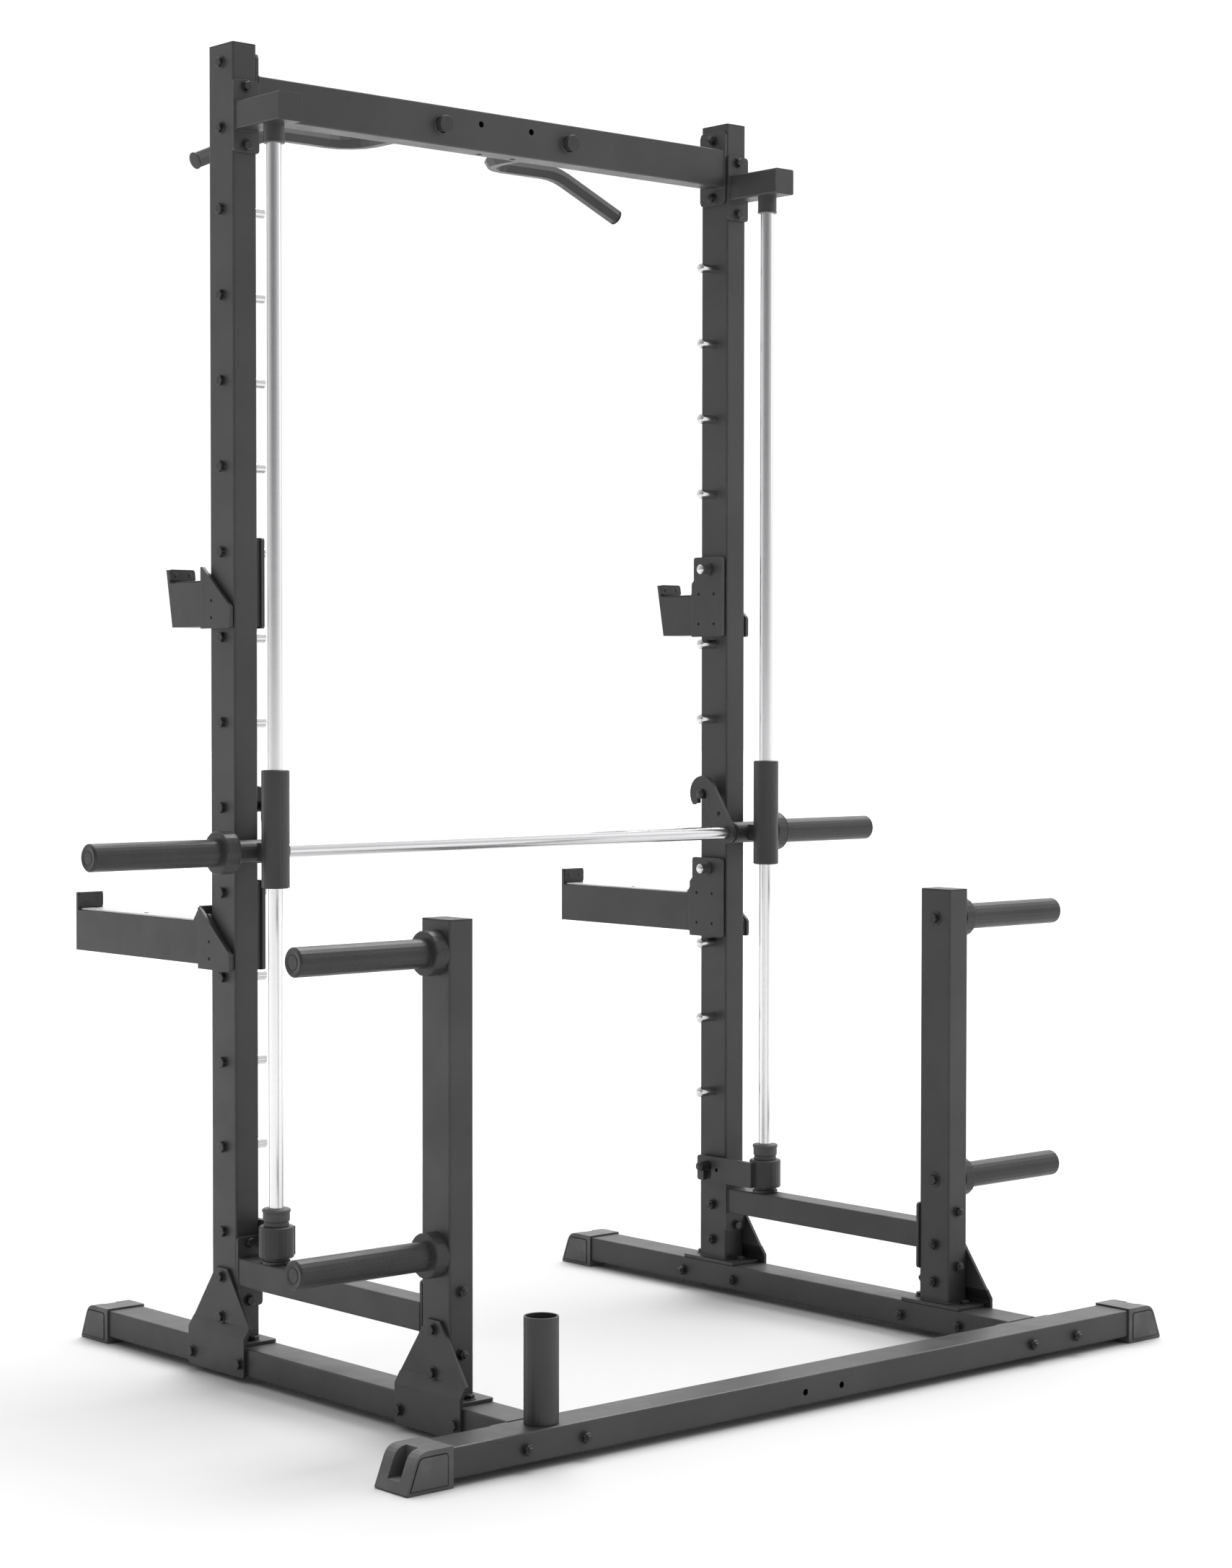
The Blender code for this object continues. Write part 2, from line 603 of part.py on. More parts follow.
def build_catch(rack, name, side):
    """A safety catch: a sleeve on the rod with a plate hooked over a peg."""
    centre = (side * ROD_X, ROD_Y, 0)
    low, high, sleeve_r, bore_r = 228.5, 284.5, 31.6, ROD_R + 0.5
    neck_r, neck_low = 22.0, 223.6
    sleeve = turned("Z", centre, [
        (sleeve_r - 2.0, high), (sleeve_r, high - 2.0), (sleeve_r, low + 2.0),
        (sleeve_r - 2.0, low), (neck_r, low), (neck_r, neck_low), (bore_r, neck_low),
        (bore_r, high)], closed=True)
    plate_in, plate_out = 563.0, 573.5
    plate_low, plate_high, tip_y = 229.0, 280.0, 30.0
    notch_half = 12.0
    ceiling = peg_z(PEG_CATCH) + PEG_R + 0.6
    round_z = ceiling - notch_half
    outline = [(ROD_Y, plate_low), (-notch_half - 2.0, plate_low), (-notch_half, plate_low + 2.0)]
    outline += arc(0, round_z, notch_half, 180, 0, 8)
    outline += [(notch_half, plate_low + 2.0), (notch_half + 2.0, plate_low)]
    outline += arc(tip_y - 5.0, plate_low + 5.0, 5.0, -90, 0, 3)
    outline += arc(tip_y - 5.0, plate_high - 5.0, 5.0, 0, 90, 3)
    outline.append((ROD_Y, plate_high))
    hole = arc(-27.0, 254.5, 4.5, 0, 324, 9)
    plate = extruded("X", outline, *across(side, plate_in, plate_out), holes=[hole])
    rack.join(sleeve, plate)
    rack.add(f"safety_catch_{name}", sleeve, "frame_paint", centre)
    bumper = turned("Z", centre, [
        (23.0, 316.0), (25.5, 314.0), (25.5, 310.0), (24.0, 309.0), (24.0, 295.0),
        (21.5, 292.0), (22.7, 290.0), (22.7, high + GAP), (bore_r, high + GAP),
        (bore_r, 316.0)], steps=20, closed=True)
    rack.add(f"catch_bumper_{name}", bumper, "rubber", centre)


def build_carriage(rack, name, side):
    """A slide tube on the rod, bridged to the bearing tube that holds the bar."""
    centre = (side * ROD_X, ROD_Y, 0)
    bush_r = 19.5
    slide = rod("Z", centre, CARRIAGE_R, CARRIAGE_LOW, CARRIAGE_HIGH)
    bearing_in, bearing_out = BOSS_OUT + 0.5, RING_IN - 0.5
    bearing = rod("X", (0, BAR_Y, BAR_Z), BEARING_R, *across(side, bearing_in, bearing_out))
    bridge_half, bridge_rise = 9.0, 16.0
    bridge = block(*across(side, ROD_X - bridge_half, ROD_X + bridge_half),
                   ROD_Y, BAR_Y, BAR_Z - bridge_rise, BAR_Z + bridge_rise)
    rack.join(slide, bearing, bridge)
    rack.cut(slide, rod("Z", centre, bush_r + GAP, CARRIAGE_LOW - 5, CARRIAGE_HIGH + 5),
             rod("X", (0, BAR_Y, BAR_Z), SHAFT_R + GAP, *across(
                 side, bearing_in - 5, bearing_out + 5)))
    rack.add(f"carriage_{name}", slide, "frame_paint", centre)
    bush = ring("Z", centre, bush_r, ROD_R + GAP, CARRIAGE_LOW + 1, CARRIAGE_HIGH - 1)
    rack.add(f"carriage_bush_{name}", bush, "black_plastic", centre)


def build_bar(rack):
    """The shaft through both carriages, and on each side a hook, a sleeve and its cap."""
    axis = (0, BAR_Y, BAR_Z)
    turn = rack.make_empty("bar_axis", axis, rack.root)
    shaft_end = SLEEVE_END - GAP
    rack.add("bar_shaft", rod("X", axis, SHAFT_R, -shaft_end, shaft_end), "chrome", axis, turn)
    bore = SHAFT_R + GAP
    for name, side in SIDES.items():
        sleeve = turned("X", axis, [(radius, side * place) for radius, place in (
            (SLEEVE_R, SLEEVE_END), (SLEEVE_R, RING_OUT), (RING_R - 2.0, RING_OUT),
            (RING_R, RING_OUT - 2.0), (RING_R, RING_IN + 2.0), (RING_R - 2.0, RING_IN),
            (bore, RING_IN), (bore, SLEEVE_END))], closed=True)
        rack.add(f"bar_sleeve_{name}", sleeve, "sleeve_coat", axis, turn)
        cap = turned("X", axis, [(radius, side * place) for radius, place in (
            (0, BAR_END), (SLEEVE_R - 2.0, BAR_END), (SLEEVE_R, BAR_END - 2.0),
            (SLEEVE_R, SLEEVE_END + GAP), (0, SLEEVE_END + GAP))])
        rack.add(f"sleeve_cap_{name}", cap, "black_plastic", axis, turn)
        rack.add(f"bar_hook_{name}", build_hook(rack, side, bore), "frame_paint", axis, turn)


def build_hook(rack, side, bore):
    """A hook plate that hangs on a peg, with its boss on the shaft."""
    peg = peg_z(PEG_BAR)
    head_z, head_r, eye_r, notch_r = peg + 1.7, 35.5, 22.0, 12.5
    tip_low, tip_out = 1006.0, 26.0
    notch_z = peg + PEG_R + 0.4 - notch_r
    spread = math.hypot(BAR_Y, BAR_Z - head_z)
    lean = math.degrees(math.atan2(BAR_Z - head_z, BAR_Y))
    front = lean - math.degrees(math.acos((head_r - eye_r) / spread)) + 360.0
    outline = arc(0, head_z, head_r, -42, front, 12)
    outline += arc(BAR_Y, BAR_Z, eye_r, front, 340, 10)
    outline += [(-notch_r, notch_z - 22.0)]
    outline += arc(0, notch_z, notch_r, 180, 0, 8)
    outline += [(notch_r, tip_low + 2.0), (notch_r + 2.0, tip_low), (tip_out - 3.0, tip_low)]
    hole = arc(-51.7, 985.3, 6.0, 0, 330, 11)
    plate = extruded("X", outline, *across(side, HOOK_IN, HOOK_OUT), holes=[hole])
    axis = (0, BAR_Y, BAR_Z)
    boss = rod("X", axis, BEARING_R, *across(side, HOOK_OUT - 2.0, BOSS_OUT))
    rack.join(plate, boss)
    rack.cut(plate, rod("X", axis, bore, *across(side, HOOK_IN - 5.0, BOSS_OUT + 5.0)))
    return plate


# --- J-hooks and spotter arms -------------------------------------------------------------

def build_jhook(rack, name, side):
    """A bracket round the upright, hung on a peg, with a short arm and lip."""
    pivot = peg_z(PEG_JHOOK)
    top, step, arm_high, low, arm_low = pivot + 25.5, pivot - 26.0, 1431.0, 1347.0, 1350.5
    front, rear_high, rear = -38.5, 44.3, 50.8
    inner = [(front + 3.0, low), (rear, low), (rear, step - 4.0), (rear - 2.0, step)]
    inner += [(rear_high, step + 4.0)]
    inner += arc(rear_high - 5.0, top - 5.0, 5.0, 0, 90, 3)
    inner += arc(front + 5.0, top - 5.0, 5.0, 90, 180, 3)
    inner += [(front, low + 3.0)]
    web_front, web_rear = 47.5, 54.0
    outer = [(front + 3.0, low), (web_rear, low), (web_rear, step), (web_rear - 5.0, step),
             (front + 3.0, 1389.0), (front, 1384.0), (front, low + 3.0)]
    arm = [(web_front + 1.0, arm_low), (154.0, arm_low), (173.5, 1456.0), (165.5, 1456.0),
           (161.0, arm_high), (web_front + 1.0, arm_high)]
    hollow = block(*across(side, 583.0, 628.5), 0, 146.0, arm_low + 3.0, arm_high - 3.0)
    build_hung_bracket(rack, f"jhook_{name}", side, pivot, inner, outer, arm, hollow,
                       web=(web_front, web_rear, arm_low, arm_high + 5.0), plates_out=(633.0, 639.5),
                       arm_x=(579.0, 634.0))


def build_spotter(rack, name, side):
    """A long spotter arm on the same kind of bracket, with a wear strip on top."""
    pivot = peg_z(PEG_SPOTTER)
    top, step, low, arm_low, arm_high = 894.0, 848.0, 732.5, 740.0, 816.0
    front, rear_high, rear = -39.0, 47.7, 55.4
    inner = [(front + 3.0, low), (rear, low), (rear, step - 4.0), (rear_high, step + 4.0)]
    inner += arc(rear_high - 5.0, top - 5.0, 5.0, 0, 90, 3)
    inner += arc(front + 5.0, top - 5.0, 5.0, 90, 180, 3)
    inner += [(front, low + 3.0)]
    web_front, web_rear = 49.0, 60.5
    outer = [(front + 3.0, low), (web_rear, low), (web_rear, 843.4), (web_rear - 5.0, 843.4),
             (front + 3.0, 767.0), (front, 762.0), (front, low + 3.0)]
    lip_high, plate = 850.0, 4.0
    arm = [(web_front + 1.0, arm_low), (SPOTTER_END, arm_low), (SPOTTER_END, lip_high),
           (SPOTTER_END - plate - 3.0, lip_high), (SPOTTER_END - plate - 3.0, arm_high),
           (86.0, arm_high), (64.0, 846.0), (web_front + 5.0, 846.0), (web_front + 1.0, arm_high)]
    hollow = block(*across(side, 586.0, 632.0), 0, SPOTTER_END - plate, arm_low + 3.0,
                   arm_high - 3.0)
    arm_x = (582.0, 637.0)
    empty = build_hung_bracket(rack, f"spotter_arm_{name}", side, pivot, inner, outer, arm,
                               hollow, web=(web_front, web_rear, arm_low, arm_high),
                               plates_out=(636.7, 643.0), arm_x=arm_x)
    strip = extruded("Y", rounded(*across(side, 587.0, 632.0), arm_high + GAP, arm_high + 4.0, 1.0),
                     87.0, SPOTTER_END - plate - 3.0 - GAP)
    rack.add(f"spotter_strip_{name}", strip, "wear_strip", (side * FRAME_X, 0, pivot), empty)


def build_hung_bracket(rack, name, side, pivot, inner, outer, arm, hollow, web, plates_out,
                       arm_x):
    """Inner plate with its bushing, outer plate, web behind the upright, and the arm."""
    plate_in, plate_out = 563.5, 570.0
    bush_r, bush_end, bore_r = 13.0, 558.5, PEG_R + 0.5
    axis = (side * FRAME_X, 0, pivot)
    bracket = extruded("X", inner, *across(side, plate_in, plate_out))
    bush = rod("X", (0, 0, pivot), bush_r, *across(side, bush_end, plate_in + 1.0))
    web_front, web_rear, web_low, web_high = web
    back = block(*across(side, plate_in + 1.0, plates_out[1] - 1.0), web_front, web_rear - 1.0,
                 web_low + 1.0, web_high)
    cheek = extruded("X", outer, *across(side, *plates_out))
    beam = extruded("X", arm, *across(side, *arm_x))
    rack.join(bracket, bush, back, cheek, beam)
    rack.cut(bracket, hollow,
             rod("X", (0, 0, pivot), bore_r, *across(side, bush_end - 5.0, plate_out + 5.0)))
    empty = rack.make_empty(f"{name}_pivot", axis, rack.root)
    rack.add(name, bracket, "frame_paint", axis, empty)
    return empty


def build_rack():
    for old in list(bpy.data.objects):
        bpy.data.objects.remove(old)
    rack = Rack()
    build_base(rack)
    build_foot_caps(rack)
    build_beam(rack)
    build_holder(rack)
    build_bar(rack)
    for name, side in SIDES.items():
        build_upright(rack, name, side)
        build_post(rack, name, side)
        build_link(rack, name, side)
        build_rod_bracket(rack, name, side)
        build_handle(rack, name, side)
        build_rod(rack, name, side)
        build_catch(rack, name, side)
        build_carriage(rack, name, side)
        build_jhook(rack, name, side)
        build_spotter(rack, name, side)
    rack.root.location = RACK_SHIFT


build_rack()
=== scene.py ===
import json
import math
from collections import namedtuple

import bmesh
import bpy
from mathutils import Euler, Matrix, Vector


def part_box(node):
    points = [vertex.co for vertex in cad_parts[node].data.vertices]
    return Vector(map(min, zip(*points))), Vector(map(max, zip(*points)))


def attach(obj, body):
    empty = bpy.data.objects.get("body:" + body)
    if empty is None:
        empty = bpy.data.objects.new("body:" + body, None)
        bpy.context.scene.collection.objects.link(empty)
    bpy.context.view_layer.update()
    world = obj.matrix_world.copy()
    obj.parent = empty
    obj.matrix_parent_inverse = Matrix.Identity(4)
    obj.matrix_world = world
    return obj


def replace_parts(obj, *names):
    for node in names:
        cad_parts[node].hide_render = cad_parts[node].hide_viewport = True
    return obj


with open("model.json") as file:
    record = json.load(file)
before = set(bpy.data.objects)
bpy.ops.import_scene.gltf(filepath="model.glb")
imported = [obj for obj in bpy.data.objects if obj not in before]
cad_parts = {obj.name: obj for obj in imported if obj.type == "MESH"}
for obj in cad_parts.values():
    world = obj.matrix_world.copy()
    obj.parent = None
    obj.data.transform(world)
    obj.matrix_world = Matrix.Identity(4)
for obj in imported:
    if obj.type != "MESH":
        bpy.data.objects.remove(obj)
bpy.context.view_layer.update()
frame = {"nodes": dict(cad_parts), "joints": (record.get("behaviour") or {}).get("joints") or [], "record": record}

MM = 0.001
SIDES = {"left": -1, "right": 1}
RECORD = frame["record"]
JOINTS = {joint["name"]: joint for joint in frame["joints"]}

Box = namedtuple("Box", "x0 x1 y0 y1 z0 z1 cx cy cz")


def box(node):
    """A CAD node's box in millimetres, with its centre."""
    low, high = (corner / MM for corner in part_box(node))
    middle = (low + high) / 2
    return Box(low.x, high.x, low.y, high.y, low.z, high.z, *middle)


def inner(part):
    """The distance of a box's near face from the middle plane."""
    return min(abs(part.x0), abs(part.x1))


def outer(part):
    """The distance of a box's far face from the middle plane."""
    return max(abs(part.x0), abs(part.x1))


# --- shader helpers ---------------------------------------------------------------------

class Look:
    """A procedural material under construction: nodes are added and linked by name."""

    def __init__(self, name):
        self.material = bpy.data.materials.new(name)
        self.material.use_nodes = True
        self.tree = self.material.node_tree
        self.shader = self.tree.nodes["Principled BSDF"]
        self.place = self.node("ShaderNodeTexCoord").outputs["Object"]

    def node(self, kind, **values):
        made = self.tree.nodes.new(kind)
        for key, value in values.items():
            if hasattr(made, key):
                setattr(made, key, value)
            else:
                made.inputs[key.replace("_", " ")].default_value = value
        return made

    def link(self, output, target):
        self.tree.links.new(output, target)

    def stretched(self, scale):
        mapping = self.node("ShaderNodeMapping")
        mapping.inputs["Scale"].default_value = scale
        self.link(self.place, mapping.inputs["Vector"])
        return mapping.outputs["Vector"]

    def noise(self, scale, detail=3.0, rough=0.55, place=None):
        """A grey noise whose features are about 1/scale metres across."""
        made = self.node("ShaderNodeTexNoise", Scale=scale, Detail=detail, Roughness=rough)
        self.link(place or self.place, made.inputs["Vector"])
        return made.outputs["Fac"]

    def remap(self, value, low, high, to_low, to_high):
        made = self.node("ShaderNodeMapRange")
        self.link(value, made.inputs["Value"])
        numbers = {"From Min": low, "From Max": high, "To Min": to_low, "To Max": to_high}
        for name, number in numbers.items():
            made.inputs[name].default_value = number
        return made.outputs["Result"]

    def mix(self, factor, first, second):
        """first where the factor is 0, second where it is 1; each a colour or an output."""
        made = self.node("ShaderNodeMix", data_type="RGBA")
        self.link(factor, made.inputs["Factor"])
        for socket, value in ((made.inputs[6], first), (made.inputs[7], second)):
            if isinstance(value, tuple):
                socket.default_value = (*value, 1)
            else:
                self.link(value, socket)
        return made.outputs[2]

    def multiply(self, first, second):
        made = self.node("ShaderNodeMath", operation="MULTIPLY")
        self.link(first, made.inputs[0])
        self.link(second, made.inputs[1])
        return made.outputs["Value"]

    def edges(self, radius):
        """1 along sharp edges and 0 on flat ground, and the rounded normal."""
        bevel = self.node("ShaderNodeBevel", samples=4)
        bevel.inputs["Radius"].default_value = radius * MM
        true = self.node("ShaderNodeNewGeometry").outputs["Normal"]
        dot = self.node("ShaderNodeVectorMath", operation="DOT_PRODUCT")
        self.link(bevel.outputs["Normal"], dot.inputs[0])
        self.link(true, dot.inputs[1])
        return self.remap(dot.outputs["Value"], 0.985, 0.8, 0.0, 1.0), bevel.outputs["Normal"]

    def bump(self, height, depth, normal=None, strength=1.0):
        made = self.node("ShaderNodeBump", Strength=strength, Distance=depth * MM)
        self.link(height, made.inputs["Height"])
        if normal:
            self.link(normal, made.inputs["Normal"])
        return made.outputs["Normal"]

    def finish(self, colour, roughness, normal, **fixed):
        self.link(colour, self.shader.inputs["Base Color"])
        self.link(roughness, self.shader.inputs["Roughness"])
        self.link(normal, self.shader.inputs["Normal"])
        for name, value in fixed.items():
            self.shader.inputs[name.replace("_", " ")].default_value = value
        return self.material


def coated(name, tone, rough, grain, depth, wear_and_highlight_tone, radius=1.6, painted_glints=0.0, **fixed):
    """Powder coat: mottled tone, wrinkle grain, painted glints of a paler tone on the grain's high spots, and
    edges lightened to a paler tone that is partly rubbed wear, partly painted highlight.
    """
    look = Look(name)
    dark = tuple(0.86 * part for part in tone)
    light = tuple(1.14 * part for part in tone)
    cloud = look.remap(look.noise(5.0, 4.0), 0.35, 0.65, 0.0, 1.0)
    colour = look.mix(cloud, dark, light)
    fine = look.noise(grain, 4.0, 0.7)
    # painted glints: paler colour on the high spots of the grain stands in for small highlights
    if painted_glints:
        glint_spots = look.remap(fine, 0.56, 0.72, 0.0, painted_glints)
        colour = look.mix(glint_spots, colour, tuple(min(1.0, 3.2 * part) for part in tone))
    edge, rounded = look.edges(radius)
    # edges lightened towards a paler tone: partly rubbed wear, partly painted highlight along the edges
    wear_and_highlight_edges = look.multiply(edge, look.remap(look.noise(60.0, 5.0, 0.7), 0.40, 0.66, 0.15, 0.8))
    colour = look.mix(wear_and_highlight_edges, colour, wear_and_highlight_tone)
    handled = look.remap(look.noise(14.0, 3.0), 0.3, 0.7, rough - 0.05, rough + 0.07)
    return look.finish(colour, handled, look.bump(fine, depth, rounded), **fixed)


def chromed(name, tone, rough, along):
    """Polished chrome with faint turning marks round the axis and small clouds."""
    look = Look(name)
    cloud = look.noise(9.0, 3.0)
    colour = look.mix(cloud, tuple(0.93 * part for part in tone), tone)
    marks = look.noise(1.0, 2.0, place=look.stretched(tuple(
        1400.0 if axis == along else 25.0 for axis in "XYZ")))
    haze = look.remap(marks, 0.3, 0.7, rough, rough + 0.05)
    return look.finish(colour, haze, look.bump(marks, 0.0012), Metallic=1.0)


def moulded(name, tone, rough, grain, depth, dust, **fixed):
    """Rubber or plastic: leathery grain, with a little pale dust in broad patches."""
    look = Look(name)
    patches = look.remap(look.noise(22.0, 5.0, 0.65), 0.46, 0.70, 0.0, dust)
    colour = look.mix(patches, tone, tuple(3.4 * part for part in tone))
    grain_height = look.noise(grain, 3.0, 0.6)
    _, rounded = look.edges(1.2)
    spread = look.remap(look.noise(35.0), 0.3, 0.7, rough - 0.06, rough + 0.06)
    return look.finish(colour, spread, look.bump(grain_height, depth, rounded), **fixed)


def brushed(name, tone, rough):
    """Light brushed metal, with its scratches along Y."""
    look = Look(name)
    lines = look.noise(1.0, 3.0, 0.6, look.stretched((900.0, 9.0, 900.0)))
    cloud = look.remap(look.noise(12.0, 4.0), 0.3, 0.7, 0.0, 1.0)
    colour = look.mix(cloud, tuple(0.86 * part for part in tone), tone)
    spread = look.remap(lines, 0.3, 0.7, rough - 0.1, rough + 0.12)
    return look.finish(colour, spread, look.bump(lines, 0.02), Metallic=0.75)


def make_looks():
    """Every material, by the name of its look."""
    # the paler edge tones here are partly rubbed wear and partly painted highlight along the edges
    grey, wear_and_highlight_tone = (0.037, 0.037, 0.038), (0.17, 0.17, 0.175)
    return {
        # the pale speckle amounts on this coat and the sleeves' are painted glints on the grain
        "paint": coated("painted_steel", grey, 0.42, 700.0, 0.05, wear_and_highlight_tone, painted_glints=0.25,
                        Specular_IOR_Level=0.45),
        "weld": coated("painted_weld", grey, 0.36, 900.0, 0.08, wear_and_highlight_tone),
        "sleeve": coated("wrinkle_sleeve", (0.040, 0.040, 0.042), 0.34, 430.0, 0.20,
                         (0.12, 0.12, 0.125), painted_glints=0.50, Specular_IOR_Level=0.28),
        "fastener": coated("black_fastener", (0.030, 0.030, 0.031), 0.30, 900.0, 0.03,
                           (0.26, 0.26, 0.265), radius=1.0, Metallic=0.35),
        "chrome_x": chromed("chrome_across", (0.68, 0.68, 0.69), 0.17, "X"),
        "chrome_z": chromed("chrome_upright", (0.80, 0.80, 0.81), 0.20, "Z"),
        # near black: the pins' own colour, and painted shade where it lines the foot caps' grooves
        "pin_and_groove_shade": moulded("dark_pins_and_groove_shade", (0.004, 0.004, 0.004), 0.55, 650.0, 0.03, 0.3,
                       Specular_IOR_Level=0.15),
        "rubber": moulded("black_rubber", (0.074, 0.074, 0.075), 0.55, 420.0, 0.12, 0.18),
        "plastic": moulded("black_plastic", (0.018, 0.018, 0.019), 0.45, 650.0, 0.06, 0.2),
        "strip": brushed("brushed_strip", (0.55, 0.55, 0.56), 0.36),
        "screw": brushed("zinc_screw", (0.42, 0.42, 0.43), 0.30),
    }


LOOKS = make_looks()
LOOK_OF = {"frame_paint": "paint", "sleeve_coat": "sleeve", "chrome": "chrome_x",
           "rubber": "rubber", "black_plastic": "plastic", "wear_strip": "strip"}


# --- mesh helpers -----------------------------------------------------------------------

DIRECTIONS = {"+X": (1, 0, 0), "-X": (-1, 0, 0), "+Y": (0, 1, 0), "-Y": (0, -1, 0),
              "+Z": (0, 0, 1), "-Z": (0, 0, -1)}


def outward(side):
    return "+X" if side > 0 else "-X"


def inward(side):
    return "-X" if side > 0 else "+X"


def standing(at, facing, spin=0.0):
    """The place whose own +Z looks along a direction, at a point in millimetres."""
    way = Vector(DIRECTIONS[facing]) if isinstance(facing, str) else Vector(facing)
    turn = Vector((0, 0, 1)).rotation_difference(way).to_matrix().to_4x4()
    return Matrix.Translation(at) @ turn @ Matrix.Rotation(math.radians(spin), 4, "Z")


def lathe(shape, profile, place, steps=28, closed=False):
    """Turn (radius, height) pairs about a place's own Z into a bmesh."""
    rings = []
    for radius, height in profile:
        if radius == 0:
            rings.append([shape.verts.new(place @ Vector((0, 0, height)))])
            continue
        ring = []
        for step in range(steps):
            turn = 2 * math.pi * step / steps
            point = Vector((radius * math.cos(turn), radius * math.sin(turn), height))
            ring.append(shape.verts.new(place @ point))
        rings.append(ring)
    pairs = list(zip(rings, rings[1:]))
    if closed:
        pairs.append((rings[-1], rings[0]))
    for low, high in pairs:
        for step in range(steps):
            quad = [low[step % len(low)], low[(step + 1) % len(low)],
                    high[(step + 1) % len(high)], high[step % len(high)]]
            corners = list(dict.fromkeys(quad))
            if len(corners) > 2:
                shape.faces.new(corners)


def slab(shape, outline, place, thick):
    """A flat outline in a place's own XY, raised by a thickness."""
    low = [shape.verts.new(place @ Vector((u, v, 0))) for u, v in outline]
    high = [shape.verts.new(place @ Vector((u, v, thick))) for u, v in outline]
    shape.faces.new(list(reversed(low)))
    shape.faces.new(high)
    for i, vert in enumerate(low):
        after = (i + 1) % len(low)
        shape.faces.new((vert, low[after], high[after], high[i]))


def side_slab(shape, outline, x, thick):
    """A (Y, Z) outline given thickness along X from a place."""
    place = Matrix(((0, 0, 1, x), (1, 0, 0, 0), (0, 1, 0, 0), (0, 0, 0, 1)))
    slab(shape, outline, place, thick)


def arc(u, v, radius, start, end, steps):
    turns = [math.radians(start + (end - start) * i / steps) for i in range(steps + 1)]
    return [(u + radius * math.cos(t), v + radius * math.sin(t)) for t in turns]


def rounded(u0, u1, v0, v1, radius, steps=4):
    """A rectangle with round corners, as points."""
    points = arc(u1 - radius, v1 - radius, radius, 0, 90, steps)
    points += arc(u0 + radius, v1 - radius, radius, 90, 180, steps)
    points += arc(u0 + radius, v0 + radius, radius, 180, 270, steps)
    return points + arc(u1 - radius, v0 + radius, radius, 270, 360, steps)


def piece(name, shape, look, body, bevel=0.0, sharp=38.0):
    """Make a bmesh in millimetres an object that rides on a body and has a look."""
    bmesh.ops.recalc_face_normals(shape, faces=shape.faces)
    bmesh.ops.scale(shape, vec=(MM, MM, MM), verts=shape.verts)
    mesh = bpy.data.meshes.new(name)
    shape.to_mesh(mesh)
    shape.free()
    mesh.shade_smooth()
    mesh.set_sharp_from_angle(angle=math.radians(sharp))
    made = bpy.data.objects.new(name, mesh)
    bpy.context.scene.collection.objects.link(made)
    mesh.materials.append(LOOKS[look])
    if bevel:
        round_edges(made, bevel)
    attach(made, body)
    return made


def round_edges(made, width, segments=2):
    bevel = made.modifiers.new("round_edges", "BEVEL")
    bevel.width = width * MM
    bevel.segments = segments
    bevel.limit_method = "ANGLE"
    bevel.angle_limit = math.radians(38)
    bevel.harden_normals = True


# --- fasteners --------------------------------------------------------------------------

def washer(shape, at, facing, radius=11.5, thick=1.6):
    edge = 0.4
    lathe(shape, [(0, 0), (radius, 0), (radius, thick - edge), (radius - edge, thick),
                  (0, thick)], standing(at, facing), 32)


def hex_head(shape, at, facing, radius=9.9, height=8.2, spin=0.0):
    """A six-sided head with a flange face below and a turned chamfer on top."""
    place = standing(at, facing, spin)
    lathe(shape, [(0, 0), (radius * 0.94, 0), (radius, 0.6), (radius, height - 1.2),
                  (radius * 0.88, height - 0.2), (0, height - 0.2)], place, 6)
    lathe(shape, [(0, height - 0.3), (radius * 0.80, height - 0.3), (radius * 0.78, height),
                  (0, height)], place, 28)


def threads(shape, at, facing, radius=5.0, start=6.0, length=6.0):
    """The bolt's threaded end standing out of its nut."""
    pitch = 1.25
    profile = [(0, start), (radius, start)]
    turn = start
    while turn < start + length - pitch:
        profile += [(radius, turn + 0.3), (radius - 0.7, turn + 0.65), (radius, turn + 1.0)]
        turn += pitch
    profile += [(radius - 0.9, start + length), (0, start + length)]
    lathe(shape, profile, standing(at, facing), 20)


def bolt(shape, at, facing, spin=0.0, wide=11.5):
    thick = 1.6
    washer(shape, at, facing, wide, thick)
    raised = Vector(at) + Vector(DIRECTIONS[facing]) * thick
    hex_head(shape, raised, facing, 9.2, 6.4, spin)


def nut(shape, at, facing, spin=0.0):
    thick = 1.6
    washer(shape, at, facing, 11.5, thick)
    raised = Vector(at) + Vector(DIRECTIONS[facing]) * thick
    hex_head(shape, raised, facing, 9.4, 8.0, spin)
    threads(shape, raised, facing, 4.9, 7.5, 4.5)


def cross_screw(shape, at, facing, radius=4.6):
    """A countersunk screw with a cross recess, as a dished head and four lobes."""
    place = standing(at, facing)
    lathe(shape, [(radius, 0.0), (radius, 0.5), (radius - 0.5, 0.9), (radius * 0.45, 1.1),
                  (radius * 0.38, 0.2), (0, 0.1)], place, 24)
    for quarter in range(4):
        spun = place @ Matrix.Rotation(math.pi / 4 + quarter * math.pi / 2, 4, "Z")
        slab(shape, [(0.9, 0.25), (radius * 0.62, 0.25), (radius * 0.62, 1.3), (0.9, 1.3)],
             spun @ Matrix.Translation((0, 0, 0.2)), 0.95)


def weld(shape, corners, radius=2.0, closed=True):
    """A rippled bead along straight runs between corners, in millimetres."""
    ripple, sides = 3.2, 6
    runs = list(zip(corners, corners[1:] + corners[:1])) if closed else list(
        zip(corners, corners[1:]))
    for start, end in runs:
        start, end = Vector(start), Vector(end)
        length = (end - start).length
        count = max(2, round(length / ripple) * 2)
        profile = [(0, -radius * 0.5)]
        for step in range(count + 1):
            swell = 1.0 if step % 2 else 0.80
            profile.append((radius * swell, length * step / count))
        profile.append((0, length + radius * 0.5))
        lathe(shape, profile, standing(start, (end - start).normalized()), sides)


